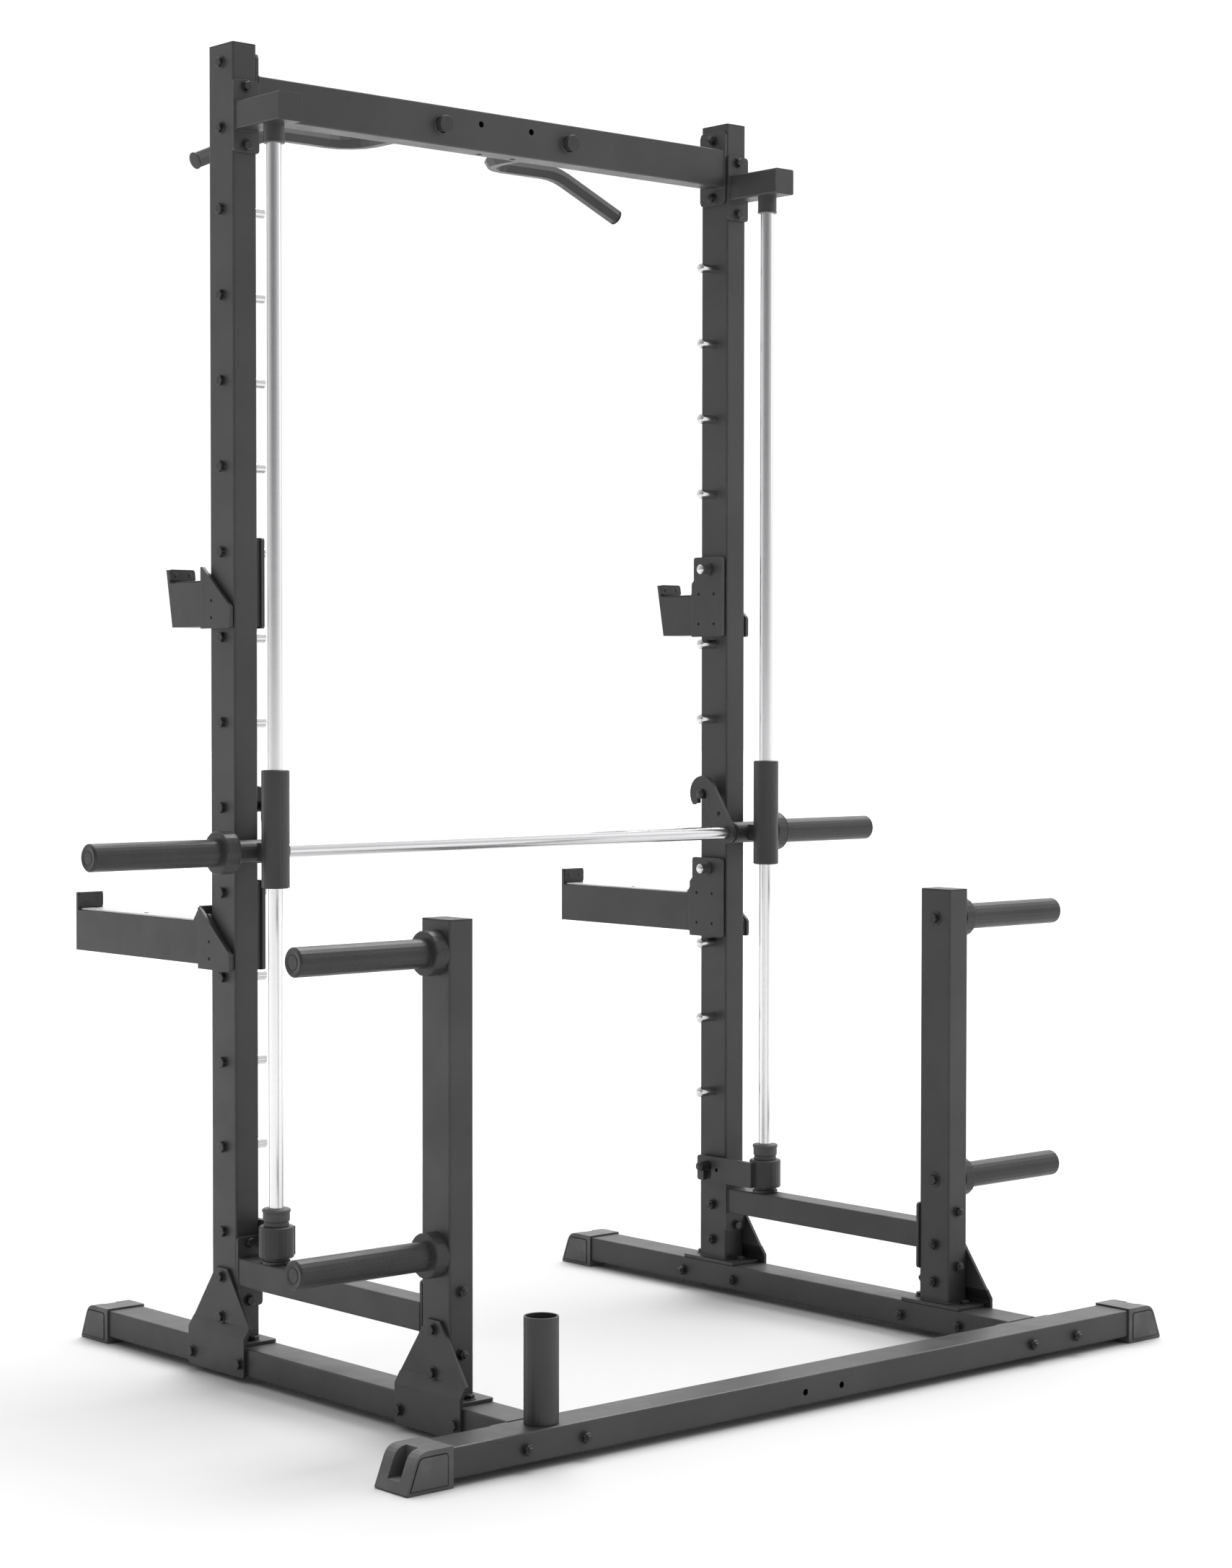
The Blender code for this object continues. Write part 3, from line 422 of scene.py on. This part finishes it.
def weld_round_tube(shape, axis, at, section):
    """A bead round a rectangular tube where it meets a plate."""
    u0, u1, v0, v1 = section
    corners = {"X": lambda u, v: (at, u, v), "Y": lambda u, v: (u, at, v),
               "Z": lambda u, v: (u, v, at)}[axis]
    inset = 2.0
    points = [(u0, v0 + inset), (u0, v1 - inset), (u0 + inset, v1), (u1 - inset, v1),
              (u1, v1 - inset), (u1, v0 + inset), (u1 - inset, v0), (u0 + inset, v0)]
    weld(shape, [corners(u, v) for u, v in points])


# --- the frame's fasteners, pegs and welds -------------------------------------------------

UPRIGHT = box("post_right")              # same X span as the uprights, without pegs
TUBE_IN, TUBE_OUT = inner(UPRIGHT), outer(UPRIGHT)
FRAME_X = (TUBE_IN + TUBE_OUT) / 2
UPRIGHT_Y = box("upright_cap_right").cy
UPRIGHT_HALF = (box("upright_cap_right").y1 - box("upright_cap_right").y0) / 2
POST_Y = box("post_right").cy
PEG_PITCH = (JOINTS["jhook_pivot_left"]["pos_m"][2] - JOINTS["spotter_pivot_left"]["pos_m"][2]
             ) / 4 / MM
PEG_TOP = JOINTS["jhook_pivot_left"]["pos_m"][2] / MM + 4 * PEG_PITCH
PEG_TIP = inner(box("upright_right"))
PEG_COUNT = 13
PEG_BAR, PEG_CATCH = 7, 12               # the pegs that the bar hooks and the catches are on
PEG_SLEEVE, PEG_CHAMFER = 9.7, 2.2
PEG_HEAD_RADIUS, PEG_HEAD_HEIGHT = 9.9, 8.3
LEG_HALF = 37.5                          # half the width of a side tube
END_PLATE = 5.5                          # the thickness of the welded end plates
BEAM_TUBE = (UPRIGHT_Y - 36.9, UPRIGHT_Y + 13.1, 2258.5, 2333.5)   # rear, front, bottom, top


def dress_upright(name, side):
    """Chrome sleeves on the free hanger pegs, black ones in use, and their bolts' heads."""
    chrome, black, heads = bmesh.new(), bmesh.new(), bmesh.new()
    radius, chamfer, root = PEG_SLEEVE, PEG_CHAMFER, TUBE_IN - PEG_TIP
    for index in range(PEG_COUNT):
        height = PEG_TOP - index * PEG_PITCH
        sleeve = black if index in (PEG_BAR, PEG_CATCH) else chrome
        lathe(sleeve, [(0, root), (radius, root), (radius, chamfer), (radius - chamfer + 0.3, 0.2),
                       (radius - chamfer - 0.4, -0.3), (0, -0.3)],
              standing((side * PEG_TIP, UPRIGHT_Y, height), outward(side)), 32)
        hex_head(heads, (side * TUBE_OUT, UPRIGHT_Y, height), outward(side),
                 PEG_HEAD_RADIUS, PEG_HEAD_HEIGHT, spin=17.0 * index % 60)
    piece(f"peg_sleeves_{name}", chrome, "chrome_x", "frame")
    piece(f"peg_sleeves_black_{name}", black, "fastener", "frame")
    piece(f"peg_heads_{name}", heads, "fastener", "frame")


def dress_base(name, side):
    """Bolts of the base plates, gussets and cross tube, and the welds near them."""
    x = side * FRAME_X
    fasteners, beads = bmesh.new(), bmesh.new()
    base_top = box(f"upright_base_plate_{name}").z1
    gusset, post = box(f"upright_gusset_{name}"), box(f"post_{name}")
    leg_face = side * (FRAME_X - LEG_HALF)
    gusset_face = side * (TUBE_OUT + 6.3)
    plate_bolt, low_reach, low_height = 57.0, 75.0, 34.5
    for centre in (UPRIGHT_Y, POST_Y):
        for way in (-1, 1):
            bolt(fasteners, (x, centre + way * plate_bolt, base_top), "+Z", spin=12.0)
            bolt(fasteners, (side * outer(gusset), centre + way * low_reach, low_height),
                 outward(side), spin=25.0)
            nut(fasteners, (leg_face, centre + way * low_reach, low_height), inward(side),
                spin=8.0)
        for height in (179.0, 107.0):
            bolt(fasteners, (gusset_face, centre, height), outward(side), spin=40.0)
            nut(fasteners, (side * TUBE_IN, centre, height), inward(side), spin=20.0)
    span = tuple(sorted((side * TUBE_IN, side * TUBE_OUT)))
    seam = 0.6
    weld_round_tube(beads, "Z", base_top + seam,
                    (*span, UPRIGHT_Y - UPRIGHT_HALF, UPRIGHT_Y + UPRIGHT_HALF))
    weld_round_tube(beads, "Z", base_top + seam, (*span, post.y0, post.y1))
    plate_face = box(f"side_tube_{name}").y0 + END_PLATE
    seam_low, seam_high = 16.0, 58.0
    for edge in (-LEG_HALF, LEG_HALF):
        weld(beads, [(x + edge, plate_face + seam, seam_low),
                     (x + edge, plate_face + seam, seam_high)], closed=False)
    cross_face = box("cross_tube").y0 + 8.0      # behind the nuts that the CAD tube holds
    cross_reach, cross_height = 61.0, 36.0
    for offset in (-cross_reach, cross_reach):
        nut(fasteners, (x + offset, cross_face, cross_height), "-Y", spin=10.0)
        bolt(fasteners, (x + offset, plate_face, cross_height), "+Y", spin=30.0)
    piece(f"base_fasteners_{name}", fasteners, "fastener", "frame")
    piece(f"base_welds_{name}", beads, "weld", "frame")


def dress_links(name, side):
    """Fasteners and welds of the link tube, the rod bracket and the top beam."""
    x = side * FRAME_X
    fasteners, beads = bmesh.new(), bmesh.new()
    link, bracket, beam = box(f"link_tube_{name}"), box(f"rod_bracket_{name}"), box("top_beam")
    post, rod = box(f"post_{name}"), box(f"guide_rod_{name}")
    upright_front = UPRIGHT_Y + UPRIGHT_HALF
    beam_face = outer(beam) - END_PLATE
    for height in (139.0, 243.6):
        bolt(fasteners, (x, link.y1 - END_PLATE, height), "-Y", spin=14.0)
        bolt(fasteners, (x, link.y0 + END_PLATE, height), "+Y", spin=33.0)
        nut(fasteners, (x, upright_front, height), "+Y", spin=5.0)
        nut(fasteners, (x, post.y0, height), "-Y", spin=50.0)
    for height in (bracket.z0 + 13.0, bracket.z1 - 11.3):
        bolt(fasteners, (x, bracket.y1 - END_PLATE, height), "-Y", spin=22.0)
        nut(fasteners, (x, upright_front, height), "+Y", spin=41.0)
    for height in (beam.z0 + 15.0, beam.z1 - 18.0):
        bolt(fasteners, (side * TUBE_OUT, UPRIGHT_Y, height), outward(side), spin=9.0)
        nut(fasteners, (side * beam_face, UPRIGHT_Y, height), inward(side), spin=28.0)
    span = tuple(sorted((side * TUBE_IN, side * TUBE_OUT)))
    tube_depth, gap, seam = 50.0, 0.3, 0.8
    link_tube = (*span, rod.z0 - gap - tube_depth, rod.z0 - gap)
    bracket_tube = (*span, rod.z1 + gap, rod.z1 + gap + tube_depth)
    weld_round_tube(beads, "Y", link.y1 - END_PLATE - seam, link_tube)
    weld_round_tube(beads, "Y", link.y0 + END_PLATE + seam, link_tube)
    weld_round_tube(beads, "Y", bracket.y1 - END_PLATE - seam, bracket_tube)
    weld_round_tube(beads, "X", side * (beam_face - seam), BEAM_TUBE)
    piece(f"link_fasteners_{name}", fasteners, "fastener", "frame")
    piece(f"link_welds_{name}", beads, "weld", "frame")


def dress_post(name, side):
    """Bolts that hold the weight horns, and the horns' turned end discs."""
    fasteners, discs = bmesh.new(), bmesh.new()
    for level in ("upper", "lower"):
        horn = box(f"storage_horn_{level}_{name}")
        bolt(fasteners, (side * TUBE_IN, horn.cy, horn.cz), inward(side), 18.0, wide=14.5)
        end_disc(discs, (side * outer(horn), horn.cy, horn.cz), outward(side), 24.6)
    piece(f"horn_bolts_{name}", fasteners, "fastener", "frame")
    piece(f"horn_discs_{name}", discs, "plastic", "frame")


def dress_handles(name, side):
    """End caps and weld beads of the bent pull-up handles."""
    caps, beads = bmesh.new(), bmesh.new()
    handle = box(f"pullup_handle_{name}")
    radius, stub_x, stub_z = 16.0, 156.0, 2297.0
    bend_x, end_x, end_z = 355.0, 522.0, 2224.0
    disc = [(0, -3.0), (radius - 2.7, -3.0), (radius - 2.7, 0), (radius, 0), (radius, 1.2),
            (radius - 1.0, 2.0), (0, 2.2)]
    lathe(caps, disc, standing((side * stub_x, handle.y0, stub_z), "-Y"), 32)
    slope = Vector((side * (end_x - bend_x), 0, end_z - stub_z)).normalized()
    lathe(caps, disc, standing((side * end_x, handle.y1 - radius, end_z), slope), 32)
    seam = radius + 0.8
    for y in BEAM_TUBE[:2]:
        ring = arc(side * stub_x, stub_z, seam, 0, 345, 23)
        weld(beads, [(u, y, v) for u, v in ring], radius=1.9)
    piece(f"handle_caps_{name}", caps, "plastic", "frame")
    piece(f"handle_welds_{name}", beads, "weld", "frame")


# --- hooks, arms, bar and feet ---------------------------------------------------------------

def panel(origin, across, up):
    """A place whose own X and Y run along two directions, from an origin."""
    across, up = Vector(across).normalized(), Vector(up).normalized()
    facing = across.cross(up)
    place = Matrix.Identity(4)
    for column, way in enumerate((across, up, facing, Vector(origin))):
        place.col[column][:3] = way
    return place


def keyhole(y0, y1, z0, z1, hole_z, radius):
    """A plate outline with a round hole, opened by a slit to the rear edge."""
    hole = arc(UPRIGHT_Y, hole_z, radius, 3, 357, 20)
    return [(y1, hole[0][1]), (y1, z1), (y0, z1), (y0, z0), (y1, z0), (y1, hole[-1][1]),
            *reversed(hole)]


def side_liner(shape, side, x_near, x_far, outline):
    """A (Y, Z) outline that fills the gap between two distances from the middle plane."""
    low, high = sorted((side * x_near, side * x_far))
    side_slab(shape, outline, low, high - low)


def rivets(shape, side, x, facing, places, radius=3.0):
    """Small domed heads of the pins that hold a liner to its plate."""
    for y, z in places:
        lathe(shape, [(radius, 0), (radius, 0.25), (radius * 0.7, 0.6), (0, 0.7)],
              standing((side * x, UPRIGHT_Y + y, z), facing), 16)


def lip_pad(pads, screws, origin, up, width, height, reach, thick=3.4, corner=5.0):
    """A pad on the inner side of an arm's lip, with two countersunk screws."""
    place = panel(origin, (1, 0, 0), up)
    slab(pads, rounded(-width / 2, width / 2, 0, height, corner), place, thick)
    for way in (-1, 1):
        spot = place @ Vector((way * reach, height * 0.52, thick - 0.35))
        cross_screw(screws, spot, tuple(place.col[2][:3]), radius=4.4)


PLATE_FACE = 563.5                       # of the J-hooks' and spotters' inner plates
LINER_IN, LINER_GAP, LINER_LIFT = 570.2, 0.5, 3.0
PEG_HOLE = 10.6                          # the radius of the liners' peg holes


def dress_jhook(name, side):
    """Liners, rivets, lip pad and screws of a J-hook."""
    body = f"jhook_{name}"
    pivot = JOINTS[f"jhook_pivot_{name}"]["pos_m"][2] / MM
    part = box(f"jhook_{name}")
    liners, pins, pads, screws = (bmesh.new() for _ in range(4))
    bottom = part.z0 + LINER_LIFT
    side_liner(liners, side, LINER_IN, TUBE_IN - LINER_GAP,
               keyhole(UPRIGHT_Y - 34, UPRIGHT_Y + 43, bottom, pivot + 22, pivot, PEG_HOLE))
    rear, front, brow = UPRIGHT_Y - 35, UPRIGHT_Y + 46, UPRIGHT_Y + 38
    shoulder, top, outer_face = 1386.0, 1447.0, 632.8
    side_liner(liners, side, TUBE_OUT + LINER_GAP, outer_face,
               [(rear, bottom), (front, bottom), (front, top), (brow, top), (rear, shoulder)])
    rivets(pins, side, PLATE_FACE, inward(side),
           [(30, 1434), (-15.4, 1434), (30, 1373), (-15.4, 1373)])
    rivets(pins, side, outer(part), outward(side), [(20, 1397), (20, 1366)])
    arm_x, pad_half = side * 606.5, 24.5
    lip_pad(pads, screws, (arm_x, UPRIGHT_Y + 161.9, 1435.5), up=(0, 4.5, 25.0),
            width=55.0, height=21.5, reach=16.0)
    cradle = rounded(arm_x - pad_half, arm_x + pad_half, UPRIGHT_Y + 56, UPRIGHT_Y + 151, 2.0)
    slab(pads, cradle, Matrix.Translation((0, 0, 1431.0)), thick=3.0)
    piece(f"jhook_liners_{name}", liners, "plastic", body, bevel=0.5)
    piece(f"jhook_rivets_{name}", pins, "pin_and_groove_shade", body)
    piece(f"jhook_pads_{name}", pads, "plastic", body, bevel=0.6)
    piece(f"jhook_screws_{name}", screws, "fastener", body)


LIP_TOP = 850.0                          # of the spotter arms' end plates


def dress_spotter(name, side):
    """Liners, rivets, end pad and screws of a spotter arm."""
    body = f"spotter_{name}"
    pivot = JOINTS[f"spotter_pivot_{name}"]["pos_m"][2] / MM
    part, strip = box(f"spotter_arm_{name}"), box(f"spotter_strip_{name}")
    liners, pins, pads, screws = (bmesh.new() for _ in range(4))
    bottom = part.z0 + LINER_LIFT
    side_liner(liners, side, LINER_IN, TUBE_IN - LINER_GAP,
               keyhole(UPRIGHT_Y - 34, UPRIGHT_Y + 44, bottom, pivot + 18, pivot, PEG_HOLE))
    rear, front, brow = UPRIGHT_Y - 35, UPRIGHT_Y + 47, UPRIGHT_Y + 38
    shoulder, top, outer_face = 764.0, 832.0, 636.4
    side_liner(liners, side, TUBE_OUT + LINER_GAP, outer_face,
               [(rear, bottom), (front, bottom), (front, top), (brow, top), (rear, shoulder)])
    rivets(pins, side, PLATE_FACE, inward(side),
           [(34.6, 821), (-11, 821), (34.6, 759.5), (-11, 759.5)])
    rivets(pins, side, outer(part), outward(side), [(25, 782.7), (25, 752)])
    arm_x = side * (inner(strip) + outer(strip)) / 2
    lip_pad(pads, screws, (arm_x, strip.y1 + 0.2, strip.z1 + 1.0), up=(0, 0, 1),
            width=53.0, height=LIP_TOP - strip.z1 - 1.4, reach=15.0)
    for share in (0.06, 0.5, 0.94):
        spot = (arm_x, strip.y0 + share * (strip.y1 - strip.y0), strip.z1 - 0.2)
        cross_screw(screws, spot, "+Z", radius=4.2)
    piece(f"spotter_liners_{name}", liners, "plastic", body, bevel=0.5)
    piece(f"spotter_rivets_{name}", pins, "pin_and_groove_shade", body)
    piece(f"spotter_pads_{name}", pads, "plastic", body, bevel=0.6)
    piece(f"spotter_screws_{name}", screws, "fastener", body)


def end_disc(shape, at, facing, radius):
    """The turned plastic disc in the end of a sleeve, with a ring groove."""
    lathe(shape, [(0, 0.0), (radius - 2.4, 0.0), (radius - 3.2, 0.9), (14.2, 0.9), (13.4, 0.3),
                  (12.4, 0.3), (11.6, 1.0), (0, 1.1)], standing(at, facing), 40)


def dress_bar(name, side):
    """The sleeves' end discs, and the rings on the hooks' bosses and the sleeves' collars."""
    sleeve, hook = box(f"bar_sleeve_{name}"), box(f"bar_hook_{name}")
    cap = box(f"sleeve_cap_{name}")
    discs, rings = bmesh.new(), bmesh.new()
    end_disc(discs, (side * outer(cap), cap.cy, cap.cz), outward(side), 24.5)
    boss_edge = 5.6
    place = standing((side * (outer(hook) - boss_edge), cap.cy, cap.cz), outward(side))
    lathe(rings, [(21.0, 0), (23.4, 0.2), (23.4, 2.6), (21.6, 3.0), (21.6, 4.2), (23.0, 4.4),
                  (23.0, 5.8), (21.0, 6.0)], place, 40, closed=True)
    place = standing((side * inner(sleeve), cap.cy, cap.cz), outward(side))
    low, high = 36.0, 38.9
    for run in (2.2, 26.8):
        lathe(rings, [(low, run), (high, run + 0.4), (high, run + 1.8), (low, run + 2.2)],
              place, 48, closed=True)
    piece(f"bar_discs_{name}", discs, "plastic", "bar")
    piece(f"bar_rings_{name}", rings, "fastener", "bar")


def dress_rod(name, side):
    """Set screws of the rod's collars and lips of the carriage's bush."""
    rod, collar = box(f"guide_rod_{name}"), box(f"rod_collar_{name}")
    bush = box(f"carriage_bush_{name}")
    screws, lips = bmesh.new(), bmesh.new()
    middle = (collar.z0 + collar.z1) / 2
    lathe(screws, [(0, 0), (2.0, 0), (2.0, 1.2), (1.2, 1.6), (1.0, 0.6), (0, 0.6)],
          standing((rod.cx, collar.y0 + 0.2, middle), "-Y"), 16)
    lip = [(13.6, -0.5), (24.0, -0.5), (24.0, 1.2), (22.6, 2.2), (14.6, 2.4), (13.6, 1.4)]
    for height, facing in ((bush.z1, "+Z"), (bush.z0, "-Z")):
        lathe(lips, lip, standing((rod.cx, rod.cy, height), facing), 40, closed=True)
    piece(f"rod_screws_{name}", screws, "fastener", "frame")
    piece(f"bush_lips_{name}", lips, "plastic", "carriage")


def dress_chrome(node, facing, look, body):
    """A smooth turned rod in place of a CAD rod, with its ends chamfered."""
    part = box(node)
    if facing == "+Z":
        radius, length = (part.x1 - part.x0) / 2, part.z1 - part.z0
        start = (part.cx, part.cy, part.z0)
    else:
        radius, length = (part.z1 - part.z0) / 2, part.x1 - part.x0
        start = (part.x0, part.cy, part.cz)
    shape, chamfer = bmesh.new(), 1.0
    lathe(shape, [(0, 0), (radius - chamfer, 0), (radius, chamfer), (radius, length - chamfer),
                  (radius - chamfer, length), (0, length)], standing(start, facing), 96)
    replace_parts(piece(f"{node}_turned", shape, look, body), node)


def dress_foot(node, along, way):
    """Raised side panels, a near-black band round them as painted shade of the grooves, and gripping ribs of a
    rubber foot cap.
    """
    part = box(node)
    length = (part.x1 - part.x0) if along == "X" else (part.y1 - part.y0)
    panel_in, panel_low, panel_high, raise_by = 12.0, 7.0, 56.0, 0.9
    nose_low, nose_high, nose_bend, back_bend, wide = 8.0, 34.0, 11.0, 4.0, 1.7
    outline = [(panel_in, panel_low), (length - nose_low, panel_low)]
    outline += arc(length - nose_high, panel_high - nose_bend, nose_bend, 22, 90, 5)
    outline += arc(panel_in + back_bend, panel_high - back_bend, back_bend, 90, 180, 4)
    shade_band_outline = [(panel_in - wide, panel_low - 1.0), (length - nose_low + 1.9, panel_low - 1.0)]
    shade_band_outline += arc(length - nose_high, panel_high - nose_bend, nose_bend + wide, 22, 90, 5)
    shade_band_outline += arc(panel_in + back_bend, panel_high - back_bend, back_bend + wide, 90, 180, 4)
    shape, painted_groove_shade = bmesh.new(), bmesh.new()
    start = {("X", 1): part.x0, ("X", -1): part.x1, ("Y", 1): part.y0}[(along, way)]
    for face in (-1, 1):
        if along == "X":
            edge = part.y0 if face < 0 else part.y1
            place = panel((start, edge, 0), (way, 0, 0), (0, 0, 1))
        else:
            edge = part.x0 if face < 0 else part.x1
            place = panel((edge, start, 0), (0, way, 0), (0, 0, 1))
        toward = Vector((0, face, 0)) if along == "X" else Vector((face, 0, 0))
        out = raise_by if toward.dot(Vector(place.col[2][:3])) > 0 else -raise_by
        slab(shape, outline, place, out)
        # a near-black band about 1.7 mm wide round each panel: painted shade standing in for the engraved groove
        slab(painted_groove_shade, shade_band_outline, place, 0.3 * out)
    ribs, rib_start, rib_pitch, rib_half, rib_out, rib_height = 6, 5.0, 7.0, 1.6, 0.6, 3.2
    for rib in range(ribs):
        spot = start + way * (rib_start + rib_pitch * rib)
        if along == "X":
            span = (spot - rib_half, spot + rib_half, part.y0 - rib_out, part.y1 + rib_out)
        else:
            span = (part.x0 - rib_out, part.x1 + rib_out, spot - rib_half, spot + rib_half)
        slab(shape, rounded(*span, 0.8, 2), Matrix.Translation((0, 0, 0.1)), rib_height)
    piece(f"{node}_trim", shape, "rubber", "frame", bevel=0.4)
    piece(f"{node}_grooves", painted_groove_shade, "pin_and_groove_shade", "frame")


# --- the stage ---------------------------------------------------------------------------

def make_camera():
    """A long lens from the left of the rack's cross tube, about 1.2 m up."""
    camera = bpy.data.objects.new("camera", bpy.data.cameras.new("camera"))
    bpy.context.scene.collection.objects.link(camera)
    camera.location = (-3.7897, -4.45225, 1.2322)
    camera.rotation_euler = Euler([math.radians(a) for a in (88.32, -0.05, -41.335)])
    camera.data.sensor_width = 36.0
    camera.data.lens = 71.48
    camera.data.clip_end = 200.0
    bpy.context.scene.camera = camera


def make_floor():
    """A pale matt floor that brightens to white away from the rack through a painted glow, so it is darker near
    the rack.
    """
    shape = bmesh.new()
    bmesh.ops.create_circle(shape, cap_ends=True, segments=96, radius=60.0)
    mesh = bpy.data.meshes.new("floor")
    shape.to_mesh(mesh)
    shape.free()
    floor = bpy.data.objects.new("floor", mesh)
    bpy.context.scene.collection.objects.link(floor)
    look = Look("pale_floor")
    cloud = look.noise(0.8, 4.0)
    colour = look.mix(cloud, (0.545, 0.54, 0.54), (0.57, 0.565, 0.565))
    rough = look.remap(look.noise(3.0), 0.3, 0.7, 0.75, 0.85)
    # painted light: the floor emits nothing within 1.2 m of the rack, rising to full glow at 3.2 m
    reach = look.node("ShaderNodeVectorMath", operation="LENGTH")
    look.link(look.place, reach.inputs[0])
    painted_floor_glow = look.remap(reach.outputs["Value"], 1.2, 3.2, 0.0, 0.28)
    look.link(painted_floor_glow, look.shader.inputs["Emission Strength"])
    look.shader.inputs["Emission Color"].default_value = (1, 1, 1, 1)
    mesh.materials.append(look.finish(
        colour, rough, look.bump(look.noise(40.0), 0.05), Specular_IOR_Level=0.1))


def make_world():
    """White before the camera and on the lit side, falling to grey on the side away from it."""
    world = bpy.data.worlds.new("studio")
    world.use_nodes = True
    tree = world.node_tree
    background = tree.nodes["Background"]
    place = tree.nodes.new("ShaderNodeTexCoord").outputs["Generated"]
    away = tree.nodes.new("ShaderNodeVectorMath")
    away.operation = "DOT_PRODUCT"
    away.inputs[1].default_value = Vector((0.76, 0.56, 0.33)).normalized()
    tree.links.new(place, away.inputs[0])
    ramp = tree.nodes.new("ShaderNodeValToRGB")
    ramp.color_ramp.elements[0].position = 0.05
    ramp.color_ramp.elements[0].color = (0.15, 0.15, 0.155, 1)
    ramp.color_ramp.elements[1].position = 0.72
    ramp.color_ramp.elements[1].color = (1, 1, 1, 1)
    half = tree.nodes.new("ShaderNodeMath")
    half.operation = "MULTIPLY_ADD"
    half.inputs[1].default_value = 0.5
    half.inputs[2].default_value = 0.5
    tree.links.new(away.outputs["Value"], half.inputs[0])
    tree.links.new(half.outputs["Value"], ramp.inputs["Fac"])
    path = tree.nodes.new("ShaderNodeLightPath")
    mix = tree.nodes.new("ShaderNodeMix")
    mix.data_type = "RGBA"
    mix.inputs[7].default_value = (1, 1, 1, 1)
    tree.links.new(path.outputs["Is Camera Ray"], mix.inputs["Factor"])
    tree.links.new(ramp.outputs["Color"], mix.inputs[6])
    tree.links.new(mix.outputs[2], background.inputs["Color"])
    background.inputs["Strength"].default_value = 1.05
    bpy.context.scene.world = world


def make_lights():
    """A broad soft sun from high up, behind the right side, and two weak side panels."""
    key = bpy.data.lights.new("key", "SUN")
    key.energy = 3.75
    key.angle = math.radians(44)
    lamp = bpy.data.objects.new("key", key)
    lamp.rotation_euler = Vector((0.38, 0.26, 1.0)).to_track_quat("Z", "Y").to_euler()
    bpy.context.scene.collection.objects.link(lamp)
    panels = {
        "panel_left": ((-4.2, 1.2, 2.6), (0.0, 0.0, 1.0), 2.6, 2.0),
        "panel_right": ((4.0, -2.2, 3.0), (0.0, 0.0, 1.0), 2.4, 8.0),
    }
    for name, (place, target, size, power) in panels.items():
        light = bpy.data.lights.new(name, "AREA")
        light.shape = "SQUARE"
        light.size = size
        light.energy = power
        lamp = bpy.data.objects.new(name, light)
        lamp.location = place
        lamp.rotation_euler = (Vector(place) - Vector(target)).to_track_quat("Z", "Y").to_euler()
        bpy.context.scene.collection.objects.link(lamp)


def dress_cad():
    """Give every CAD node the look of its material slot."""
    for entry in RECORD["subparts"]:
        for place in frame["nodes"][entry["node"]].material_slots:
            place.material = LOOKS[LOOK_OF[entry["material_slot"]]]


bpy.context.scene.view_settings.view_transform = "Standard"
make_camera()
make_world()
make_lights()
make_floor()
dress_cad()
for name, side in SIDES.items():
    dress_upright(name, side)
    dress_base(name, side)
    dress_links(name, side)
    dress_post(name, side)
    dress_handles(name, side)
    dress_jhook(name, side)
    dress_spotter(name, side)
    dress_bar(name, side)
    dress_rod(name, side)
    dress_chrome(f"guide_rod_{name}", "+Z", "chrome_z", "frame")
    dress_foot(f"foot_cap_front_{name}", "X", side)
    dress_foot(f"foot_cap_rear_{name}", "Y", 1)
dress_chrome("bar_shaft", "+X", "chrome_x", "bar")
